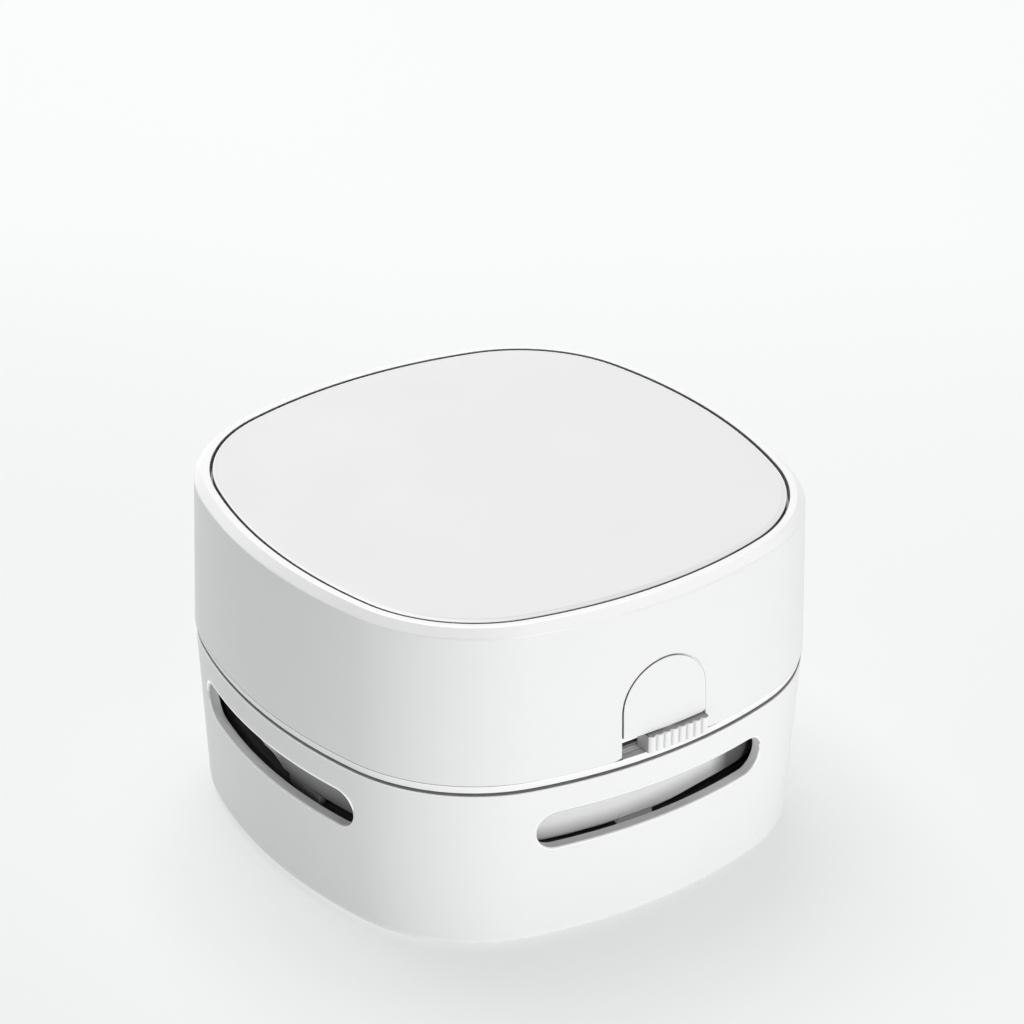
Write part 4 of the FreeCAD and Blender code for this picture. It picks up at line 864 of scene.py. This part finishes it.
def stadium_map(loop, half, r, zc):
    """for each border point the matching base point and direction on a stadium hole"""
    a = half - r
    base, dirs = [], []
    for x, z in loop:
        if abs(x) <= a:
            base.append((x, zc))
            dirs.append((0.0, 1.0 if z > zc else -1.0))
        else:
            cx = math.copysign(a, x)
            v = np.array([x - cx, z - zc])
            v /= np.linalg.norm(v)
            base.append((cx, zc))
            dirs.append(tuple(v))
    return np.array(base), np.array(dirs)


b = Build()
J1, J2 = NC - 2, NC + NS + 2
SLOT_Z, SLOT_R = 20.35, 3.12
zblk = [SLOT_Z + v for v in (-5.0, -3.9, -2.8, -1.7, -0.6, 0.6, 1.7, 2.8, 3.9, 5.0)]
zw = [6.0, 9.0, 12.0, 14.0] + zblk + [26.4, 27.4]
i1, i2 = 4, 13
in_block = lambda i, j: i1 <= i < i2 and J1 <= (j % PER) < J2
# underside, foot fillet, wall
sweep(b, rounded([(30.0, 0.8), (41.8, 0.8), (bin_h(6.0), 6.0)], [0, 1.6, 0], 8))
P, N = wall_rows(zw, bin_h, k_bin)
b.grid(P, N, wrap=True, skip=in_block)
top = rounded([(bin_h(27.4), 27.4), (bin_h(28.2), 28.2), (bin_in(28.2), 28.2), (bin_in(27.4), 27.4)],
              [0, 0.16, 0.12, 0], 5)[0]
# the rim's outer rounding takes seat_edge (painted highlight), its flat top bin_seat (painted shade)
sweep(b, [top[:2]])
sweep(b, [top[1:7]], mat=8)
sweep(b, [top[6:8]], mat=5)
sweep(b, [top[7:]])
P, N = wall_rows(zw[::-1], bin_in, k_bin, out=-1.0)
rev = len(zw) - 1
b.grid(P, N, wrap=True, skip=lambda i, j: in_block(rev - 1 - i, j))
sweep(b, rounded([(bin_in(6.0), 6.0), (bin_in(2.6), 2.6), (30.0, 2.6)], [0, 0.5, 0], 4))
for q in range(4):
    lo = block_loop(zblk, bin_h, q, J1, J2)
    li = block_loop(zblk, bin_in, q, J1, J2)
    base, dirs = stadium_map(lo, 20.6, SLOT_R, SLOT_Z)
    # slot edges: lower rounding edge_white (painted highlight), upper rounding slot_top on the front (painted shade)
    # and edge_white on the left, slot lines above (painted highlight), lips slot_lip or slot_lip_left (painted light
    # and shade)
    hole_rows(b, lo, base, dirs, SLOT_R, bin_h, k_bin, bin_in, k_bin, q, 0.32, 0.14, zs_loop_in=li,
              lip_mat=3 if q == 2 else 1, low_mat=2, top_mat=2 if q == 2 else 4, line_mat=6 if q == 2 else 7,
              top_first=0 if q == 2 else 1)
# floor between the mouth circle and the outline
circ = np.stack([np.cos(PHI), np.sin(PHI)], 1)


def disc_rows(z, nz, r0, h1, steps=4):
    x, y, _, _ = plan(h1)
    P, N = [], []
    for s in range(steps + 1):
        w = s / steps
        xy = circ * r0 * (1 - w) + np.stack([x, y], 1) * w
        P.append(np.column_stack([xy, np.full(len(xy), z)]))
        N.append(np.tile([0, 0, nz], (len(xy), 1)))
    return P, N


b.grid(*disc_rows(0.8, -1.0, 25.35, 30.0), wrap=True)
b.grid(*disc_rows(2.6, 1.0, 25.2, 30.0), wrap=True)
edge = rounded([(25.2, 2.6), (25.0, 2.6), (25.0, 0.8), (25.35, 0.8)], [0, 0.2, 0.35, 0], 4)
for s in edge:
    P = [np.column_stack([circ * p[0], np.full(len(circ), p[1])]) for p, _ in s]
    N = [np.column_stack([circ * n[0], np.full(len(circ), n[1])]) for _, n in s]
    b.grid(P, N, wrap=True)
bin_shell = settle(b.make("bin_shell_fine", [MAT["shell_white"], MAT_SLOT, MAT_BRIGHT, MAT_SLOT2, MAT_DIP, MAT_SEAT,
                                             MAT_LINE2, MAT_LINE, MAT_EDGE]), "bin", "shell_white", "bin_shell")

# =====================================================================================
# Upper housing
# =====================================================================================
T15, T14 = math.tan(1.5 * RAD), math.tan(14 * RAD)
Z_BAND = 30.1
Z_LOW = 28.7
Z_SILL = Z_BAND + 0.02


def unit_h(z):
    return 43.4 - (z - Z_BAND) * T15


def k_unit(z):
    return -T15


b = Build()
# bottom edge, slanted band, fine groove under the wall
# the housing's underside takes gap_grey: painted shade
sweep(b, rounded([(41.0, Z_LOW), (43.4 - 1.4 * T14 - 0.3, Z_LOW)], [0, 0], 4), mat=1)
# the slanted band takes band_white: painted light
sweep(b, rounded([(43.4 - 1.4 * T14 - 0.3, Z_LOW), (43.4 - 1.4 * T14, Z_LOW), (43.4 - 0.25 * T14, Z_BAND - 0.25)],
                 [0, 0.10, 0], 4), mat=4)
# the groove's lower lip takes edge_white: painted highlight
sweep(b, rounded([(43.4 - 0.25 * T14, Z_BAND - 0.25), (43.4 - 0.10 * T14, Z_BAND - 0.10)], [0, 0], 4), mat=5)
phi_front = 3 * math.pi / 2
x, y, nx, ny = plan(43.4)
near = np.where((ny < -0.9) & (np.abs(x) < 9.6), 1.0, 0.0)
deep = 0.07 + 0.26 * near * np.clip((9.4 - np.abs(x)) / 1.8, 0, 1) * np.clip((np.abs(x) - 7.3) / 0.3, 0, 1)
P, N = [], []
h0 = 43.4 - 0.10 * T14
for off, z, nh, nz in ((0.0, Z_BAND - 0.10, 0.55, 0.83), (1.0, Z_BAND - 0.05, 0.9, 0.3), (1.0, Z_BAND - 0.03, 0.9, -0.3),
                       (0.0, Z_SILL, 0.55, -0.83)):
    hh = np.where(off > 0, h0 - deep, h0 if z < Z_BAND else unit_h(Z_SILL))
    X, Y, NX, NY = [], [], [], []
    for h, ph in zip(hh, PHI):
        px, py, pnx, pny = plan(h, np.array([ph]))
        X.append(px[0]); Y.append(py[0]); NX.append(pnx[0]); NY.append(pny[0])
    P.append(np.column_stack([X, Y, np.full(len(PHI), z)]))
    N.append(np.column_stack([np.array(NX) * nh, np.array(NY) * nh, np.full(len(PHI), nz)]))
# beside the window the groove takes gap_grey: painted shade
beside = (ny < -0.9) & (np.abs(x) > 7.2) & (np.abs(x) < 9.0)
b.grid(P, N, wrap=True, skip=lambda i, j: bool(beside[j % PER4]))
b.grid(P, N, wrap=True, mat=1, skip=lambda i, j: not bool(beside[j % PER4]))

# wall with the arched opening in front
zu_blk = [Z_SILL, 31.4, 32.8, 34.2, 35.6, 37.0, 38.4, 39.8, 41.2, 42.6, 44.0, 45.4, 47.0]
zu = zu_blk + [49.0, 51.5, 53.7]
JA, JB = NC + NS // 2 - 10, NC + NS // 2 + 10
QF = 3
i1u, i2u = 0, len(zu_blk) - 1
P, N = wall_rows(zu, unit_h, k_unit)
b.grid(P, N, wrap=True, skip=lambda i, j: i1u <= i < i2u and j // PER == QF and JA <= (j % PER) < JB)
rim = rounded([(unit_h(53.7), 53.7), (unit_h(54.35), 54.35), (unit_h(55.6) - 1.25, 55.6), (40.35, 55.6),
               (40.35, 55.2), (40.35, 53.3)], [0, 0.55, 0.45, 0.16, 0, 0], 6)
# rim: wall, chamfer_white (painted light and shade), rim_white (painted highlight), then gap_grey down the seat
# (painted shade)
sweep(b, [rim[0][:5]])
sweep(b, [rim[0][4:12]], mat=7)
sweep(b, [rim[0][11:20]], mat=6)
sweep(b, [rim[0][19:]], mat=1)
sweep(b, rim[1:], mat=1)


def arch_line(half, low, mid, count, fractions):
    """points and outward directions along an arch from its lower left end over to its lower right end"""
    leg = mid - low
    total = 2 * leg + math.pi * half
    base, dirs = [], []
    for f in fractions:
        s = f * total
        if s <= leg:
            base.append((-half, low + s)); dirs.append((-1.0, 0.0))
        elif s >= leg + math.pi * half:
            base.append((half, low + (total - s))); dirs.append((1.0, 0.0))
        else:
            a = math.pi - (s - leg) / half
            base.append((half * math.cos(a), mid + half * math.sin(a)))
            dirs.append((math.cos(a), math.sin(a)))
    return np.array(base), np.array(dirs)


lp = block_loop(zu_blk, unit_h, QF, JA, JB)
# open border: left side upwards, top, right side downwards
xl = lambda j, z: float(np.dot(np.array(plan(unit_h(z), np.array([_dq[j] + QF * math.pi / 2]))[:2]).reshape(-1),
                               frame_of(QF)[1][:2]))
border = [(xl(JA, z), z) for z in zu_blk[:-1]] + [(xl(j, zu_blk[-1]), zu_blk[-1]) for j in range(JA, JB)] + \
         [(xl(JB, z), z) for z in reversed(zu_blk)]
border = np.array(border)
# finer: put two extra points between the border points so that the arch is smooth
fine = []
for a, c in zip(border[:-1], border[1:]):
    for k in range(3):
        fine.append(a + (c - a) * k / 3)
fine.append(border[-1])
fine = np.array(fine)
seg_len = np.concatenate([[0], np.cumsum(np.linalg.norm(np.diff(fine, axis=0), axis=1))])
fr = seg_len / seg_len[-1]
base, dirs = arch_line(7.64, Z_SILL, 37.6, len(fine), fr)
# the arch's lip into the wall takes arch_gap: painted shade
hole_rows(b, fine, base, dirs, 0.0, unit_h, k_unit, None, None, QF, 0.07, 0.0, closed=False, layers=7,
          back=41.86, lip_mat=3)
# the sill: front edge rounded, then flat to the back
xs = np.linspace(-7.64, 7.64, 25)
rho = 0.1
P, N = [], []
for k in range(5):
    be = k / 4 * math.pi / 2
    pp, nn = wall3(xs, np.full_like(xs, Z_SILL), unit_h, k_unit, QF)
    pp = pp.copy()
    pp[:, 1] += rho * (1 - math.cos(be)) if k else 0.0
    pp[:, 2] = Z_SILL + (rho * math.sin(be) - rho)
    nz = math.sin(be)
    P.append(pp)
    N.append(np.column_stack([nn[:, 0] * math.cos(be), nn[:, 1] * math.cos(be), np.full(len(xs), nz)]))
b.grid(P, N)
# it falls a little toward the back, where the recess begins with a small step
back_row = P[-1].copy()
back_row[:, 1] = -41.9
back_row[:, 2] = 30.0
b.grid([P[-1], back_row], [np.tile([0, 0.08, 1.0], (len(xs), 1))] * 2, mat=2)


def keep_housing(c, n):
    h = half_of(c[0], c[1])
    z = c[2]
    if z > 55.45:
        return False
    if z < 28.75 and h > 41.0:
        return False
    r = math.hypot(c[0], c[1])
    outward = (n[0] * c[0] + n[1] * c[1]) / max(r, 1e-6)
    if h > 41.3 and outward > 0.3:
        return False
    if abs(h - 40.35) < 0.12 and 53.35 < z < 55.6 and outward < -0.5:
        return False
    if abs(c[0]) < 7.66 and c[1] < -41.8 and 29.9 < z < 45.3:
        return False
    return True


b.copy("upper_housing", keep_housing)
housing = settle(b.make("upper_housing_fine", [MAT_WALL, MAT_GAP, MAT_DARK, MAT_ARCH, MAT_BAND, MAT_BRIGHT,
                                                MAT_RIMTOP, MAT_CHAMFER]), "unit",
                 "shell_white", "upper_housing")

# =====================================================================================
# Arched switch panel: pad flush with the wall, flange and slit behind it
# =====================================================================================
b = Build()
NF = 120
PZ = 33.25
leg = 37.6 - PZ
PR = 7.36
cnt_bot = 24
base, dirs = arch_line(PR, PZ, 37.6, NF, np.linspace(0, 1, NF))
# close the loop along the bottom with slightly rounded lower corners
rc = 0.35
pts, nds = [], []
for (bx, bz), d in zip(base, dirs):
    if bz < PZ + rc:
        continue
    pts.append((bx, bz)); nds.append(tuple(d))
for k in range(7):
    a = -k / 6 * math.pi / 2
    pts.append((PR - rc + rc * math.cos(a), PZ + rc + rc * math.sin(a))); nds.append((math.cos(a), math.sin(a)))
for v in np.linspace(PR - rc, -PR + rc, cnt_bot)[1:-1]:
    pts.append((v, PZ)); nds.append((0.0, -1.0))
for k in range(7):
    a = -math.pi / 2 - k / 6 * math.pi / 2
    pts.append((-PR + rc + rc * math.cos(a), PZ + rc + rc * math.sin(a))); nds.append((math.cos(a), math.sin(a)))
pts, nds = np.array(pts), np.array(nds)
nF, tF = frame_of(QF)
d3 = nds[:, 0:1] * tF + nds[:, 1:2] * np.array([0, 0, 1.0])
rho = 0.08
cen = np.array([0.0, 38.6])
P, N = [], []
for w in (0.0, 0.25, 0.5, 0.75, 0.92, 1.0):
    p2 = cen + (pts - nds * rho - cen) * w
    pp, nn = wall3(p2[:, 0], p2[:, 1], unit_h, k_unit, QF)
    P.append(pp); N.append(nn)
b.grid(P, N, wrap=True)
P, N = [], []
for k in range(6):
    be = k / 5 * math.pi / 2
    p2 = pts - nds * rho * (1 - math.sin(be))
    pp, nn = wall3(p2[:, 0], p2[:, 1], unit_h, k_unit, QF)
    P.append(pp - nF * rho * (1 - math.cos(be)))
    N.append(nn * math.cos(be) + d3 * math.sin(be))
b.grid(P, N, wrap=True)
# the pad's return into the gap and the gap's floor take arch_gap: painted shade
last = P[-1].copy()
last[:, 1] = -41.86
b.grid([P[-1], last], [d3, d3], wrap=True, mat=1)
# the gap's floor: shallow on the right leg, deep on the left one
fr_ = np.linspace(0, 1, 90)
bi, _ = arch_line(PR - 0.03, PZ + 0.1, 37.6, 90, fr_)
bo, _ = arch_line(7.66, PZ + 0.1, 37.6, 90, fr_)
gap_depth = (0.13 + 1.15 * np.clip(1 - fr_, 0, 1) ** 1.4)[:, None]
rows = []
for q2 in (bi, bo):
    pp, nn = wall3(q2[:, 0], q2[:, 1], unit_h, k_unit, QF)
    rows.append(pp - nF * gap_depth)
b.grid(rows, [nn, nn], mat=1)
# the CAD recess faces take recess_white: painted shade and painted light
b.copy("switch_panel", lambda c, n: c[1] > -41.93, mat=2)
panel = settle(b.make("switch_panel_fine", [MAT["shell_white"], MAT_ARCH, MAT_RECESS]), "unit", "shell_white",
               "switch_panel")

# =====================================================================================
# Ribbed slide knob
# =====================================================================================
b = Build()
lo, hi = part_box("power_knob")
KX0, KX1 = lo[0] / MM, hi[0] / MM
KZ0 = lo[2] / MM
KZ1 = KZ0 + 2.85
KF = lo[1] / MM
KBACK = -41.12
pitch = 11.0 / 8
rr = 0.682
cyc = KF + rr
aw = math.acos(min(1.0, (rr - 0.4) / rr))
line = []
for i in range(8):
    xc = (KX0 + KX1) / 2 + (i - 3.5) * pitch
    for k in range(15):
        a = -aw + 2 * aw * k / 14
        line.append((xc + rr * math.sin(a), cyc - rr * math.cos(a), math.sin(a), -math.cos(a)))
line = np.array(line)
pos = line[:, :2]
nrm = line[:, 2:]
inset = nrm.copy()
for i in range(len(line) - 1):
    if i % 15 == 14:
        m = nrm[i] + nrm[i + 1]
        m /= np.linalg.norm(m)
        inset[i] = inset[i + 1] = m
# walls of the ribs with rounded top and bottom edges
rho = 0.13
rows_p, rows_n = [], []


def knob_row(e, z, cz, sz):
    p = pos - inset * e
    rows_p.append(np.column_stack([p, np.full(len(p), z)]))
    rows_n.append(np.column_stack([nrm * cz, np.full(len(p), sz)]))


for k in range(5):
    be = k / 4 * math.pi / 2
    knob_row(rho * (1 - math.sin(be)), KZ0 + rho * (1 - math.cos(be)), math.sin(be), -math.cos(be))
knob_row(0, (KZ0 + KZ1) / 2, 1, 0)
for k in range(5):
    be = (1 - k / 4) * math.pi / 2
    knob_row(rho * (1 - math.sin(be)), KZ1 - rho * (1 - math.cos(be)), math.sin(be), math.cos(be))
# the valleys between the ribs take knob_valley: painted shade
valley = lambda j: j % 15 in (0, 1, 12, 13, 14) and j > 1
b.grid(rows_p, rows_n, skip=lambda i, j: valley(j))
b.grid(rows_p, rows_n, mat=2, skip=lambda i, j: not valley(j))
# narrow valleys between ribs close by themselves: the grid links rib to rib
# the top, bottom, back and end faces, and the copied CAD faces, take knob_side: painted shade
for z, s, row in ((KZ0, -1.0, rows_p[0]), (KZ1, 1.0, rows_p[-1])):
    back = row.copy()
    back[:, 1] = KBACK
    b.grid([row, back], [np.tile([0, 0, s], (len(row), 1))] * 2, mat=1)
for sx, xe, idx in ((-1.0, KX0, 0), (1.0, KX1, -1)):
    # end faces, with the front edge following the first or last rib
    pf = [r[idx] for r in rows_p]
    q = []
    for p in pf:
        q.append([np.array([xe, p[1] + 0.10, p[2]]), np.array([xe, KBACK, p[2]])])
    b.grid(q, [[[sx, 0, 0]] * 2] * len(q), mat=1)
    b.grid([[p, np.array([xe, p[1] + 0.10, p[2]])] for p in pf],
           [[[sx * 0.5, -0.87, 0], [sx, 0, 0]]] * len(pf))
b.grid([[[KX0, KBACK, KZ0], [KX1, KBACK, KZ0]], [[KX0, KBACK, KZ1], [KX1, KBACK, KZ1]]],
       [[[0, 1, 0]] * 2] * 2, mat=1)
b.copy("power_knob", lambda c, n: c[1] > KBACK + 0.05, mat=1)
knob = settle(b.make("power_knob_fine", [MAT["knob_white"], MAT_SIDE, MAT_VALLEY]), "knob", "knob_white", "power_knob")

# =====================================================================================
# Top cover
# =====================================================================================
b = Build()
edge = rounded([(37.5, 53.5), (39.9, 53.5), (39.9, 55.2), (39.9, 55.47), (39.62, 55.522), (39.2, 55.6),
                (38.95, 55.6), (37.5, 55.6)], [0, 0.12, 0, 0.13, 0, 2.2, 0, 0], 6)
# the cover's side wall takes gap_grey, painted shade; its rounding cover_edge, its crown cover_strip
sweep(b, edge[:1], mat=1)
sweep(b, [edge[1][:4]], mat=1)
sweep(b, [edge[1][3:]], mat=2)
sweep(b, edge[2:3], mat=3)
sweep(b, edge[3:])
x, y, _, _ = plan(37.5)
for z, s in ((55.6, 1.0), (53.5, -1.0)):
    P = [np.column_stack([x * w, y * w, np.full(len(x), z)]) for w in (1.0, 0.8, 0.55, 0.3, 0.1, 0.0)]
    b.grid(P, [np.tile([0, 0, s], (len(x), 1))] * len(P), wrap=True)
b.copy("top_cover", lambda c, n: c[2] < 53.45)
cover = settle(b.make("top_cover_fine", [MAT_COVER, MAT_GAP, MAT_RIM, MAT_STRIP]), "cover", "shell_white", "top_cover")

# =====================================================================================
# Intake bristles: tufts of fine filaments
# =====================================================================================
random.seed(7)
b = Build()
lo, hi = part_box("intake_bristles")
zt, zb = hi[2] / MM, lo[2] / MM
for i in range(40):
    a = 2 * math.pi * i / 40
    tx, ty = 22.5 * math.cos(a), 22.5 * math.sin(a)
    for k in range(22):
        rr_ = 0.52 * math.sqrt(random.random())
        aa = random.uniform(0, 2 * math.pi)
        x0, y0 = tx + rr_ * math.cos(aa), ty + rr_ * math.sin(aa)
        fan = 1.0 + 0.38 * random.random()
        x1 = tx + rr_ * fan * math.cos(aa) + random.uniform(-0.05, 0.05)
        y1 = ty + rr_ * fan * math.sin(aa) + random.uniform(-0.05, 0.05)
        tip = zb + random.uniform(0.0, 0.22)
        fr_ = random.uniform(0.045, 0.06)
        P, N = [], []
        for s in range(4):
            w = s / 3
            cx, cy = x0 + (x1 - x0) * w * w, y0 + (y1 - y0) * w * w
            z = zt + (tip - zt) * w
            rad = fr_ * (1 - 0.35 * w)
            ring = [(cx + rad * math.cos(t), cy + rad * math.sin(t), z) for t in (0, math.pi / 2, math.pi, 3 * math.pi / 2)]
            P.append(ring)
            N.append([(math.cos(t), math.sin(t), 0) for t in (0, math.pi / 2, math.pi, 3 * math.pi / 2)])
        b.grid(P, N, wrap=True)
        b.poly(P[-1], [(0, 0, -1)] * 4)
bristles = settle(b.make("intake_bristles_fine", [MAT["bristle_nylon"]]), "bin", "bristle_nylon", "intake_bristles")

# =====================================================================================
# Floor, light, camera
# =====================================================================================
prof = [(r_, 0.0) for r_ in (0.0, 0.05, 0.12, 0.25, 0.5, 0.9, 1.3, 1.6)]
CR = 0.9
prof += [(1.6 + CR * math.sin(a * RAD), CR - CR * math.cos(a * RAD)) for a in range(5, 91, 5)]
prof += [(2.5, 1.0), (2.5, 1.2)]
P, N = [], []
ring = np.linspace(0, 2 * math.pi, 128, endpoint=False)
for i, (r_, z_) in enumerate(prof):
    p0, p1 = prof[max(i - 1, 0)], prof[min(i + 1, len(prof) - 1)]
    t_ = np.array([p1[0] - p0[0], p1[1] - p0[1]])
    t_ /= np.linalg.norm(t_)
    P.append(np.column_stack([r_ * np.cos(ring), r_ * np.sin(ring), np.full(len(ring), z_)]) * 1000)
    N.append(np.column_stack([-t_[1] * np.cos(ring), -t_[1] * np.sin(ring), np.full(len(ring), t_[0])]))
w = Nodes("floor_pale")
c = w.mix(w.ramp(w.noise(3.0, 3.0), 0.3, 0.7), (0.285, 0.288, 0.288), (0.295, 0.298, 0.298))
w.put("Base Color", c)
w.put("Roughness", w.ramp(w.noise(40.0, 3.0), 0.3, 0.7, 0.80, 0.88))
w.set(IOR=1.2, Emission_Color=(0.985, 1.0, 0.995, 1.0))
fx, fy, fz = xyz(w)
near = w.math("ADD", w.ramp(fx, -0.04, -0.22, 0.58, 0.525), w.ramp(w.math("ADD", fx, fy), 0.03, 0.32, 0.0, 0.055))
w.put("Emission Strength", w.math("MULTIPLY", w.ramp(fz, 0.0, 0.7, 1.0, 0.22), near))
b = Build()
b.grid(P, N, wrap=True)
floor = b.make("floor", [w.m])

scene = bpy.context.scene
world = bpy.data.worlds.new("studio")
world.use_nodes = True
bg = next(n for n in world.node_tree.nodes if n.type == "BACKGROUND")
bg.inputs["Color"].default_value = (1.0, 1.0, 1.0, 1)
bg.inputs["Strength"].default_value = 0.06
scene.world = world


def area(name, loc, target, size, power, color=(1, 1, 1)):
    li = bpy.data.lights.new(name, "AREA")
    li.shape = "RECTANGLE"
    li.size, li.size_y = size
    li.energy = power
    li.color = color
    ob = bpy.data.objects.new(name, li)
    ob.location = loc
    d = Vector(target) - Vector(loc)
    ob.rotation_mode = "QUATERNION"
    ob.rotation_quaternion = d.to_track_quat("-Z", "Y")
    ob.visible_camera = False
    scene.collection.objects.link(ob)
    return ob


def at(az_deg, el_deg, dist):
    a, e = az_deg * RAD, el_deg * RAD
    return (dist * math.cos(e) * math.cos(a), dist * math.cos(e) * math.sin(a), dist * math.sin(e))


area("key_low", at(269.5, 8, 1.3), (0, 0, 0.03), (0.60, 0.24), 8.2)
area("top_back", at(78, 70, 1.3), (0, 0, 0.04), (0.9, 0.9), 18.4)

scene.view_settings.view_transform = "Standard"
scene.view_settings.look = "None"
scene.view_settings.exposure = 0.0
scene.view_settings.gamma = 1.0

az, el = -34.90 * RAD, 28.254 * RAD
back = Vector((math.sin(az) * math.cos(el), -math.cos(az) * math.cos(el), math.sin(el)))
right = Vector((math.cos(az), math.sin(az), 0.0))
up = back.cross(right)
roll = 0.377 * RAD
r2 = right * math.cos(roll) + up * math.sin(roll)
u2 = up * math.cos(roll) - right * math.sin(roll)
cam_data = bpy.data.cameras.new("cam")
cam = bpy.data.objects.new("cam", cam_data)
scene.collection.objects.link(cam)
loc = Vector((0, 0, 0.0556)) + back * 0.57774
m = Matrix(((r2.x, u2.x, back.x, loc.x), (r2.y, u2.y, back.y, loc.y), (r2.z, u2.z, back.z, loc.z), (0, 0, 0, 1)))
cam.matrix_world = m
cam_data.sensor_width = 36.0
cam_data.lens = 3800.0 / 1024.0 * 36.0
cam_data.shift_x = 13.78 / 1024.0
cam_data.shift_y = -35.33 / 1024.0
cam_data.clip_start, cam_data.clip_end = 0.02, 30.0
scene.camera = cam
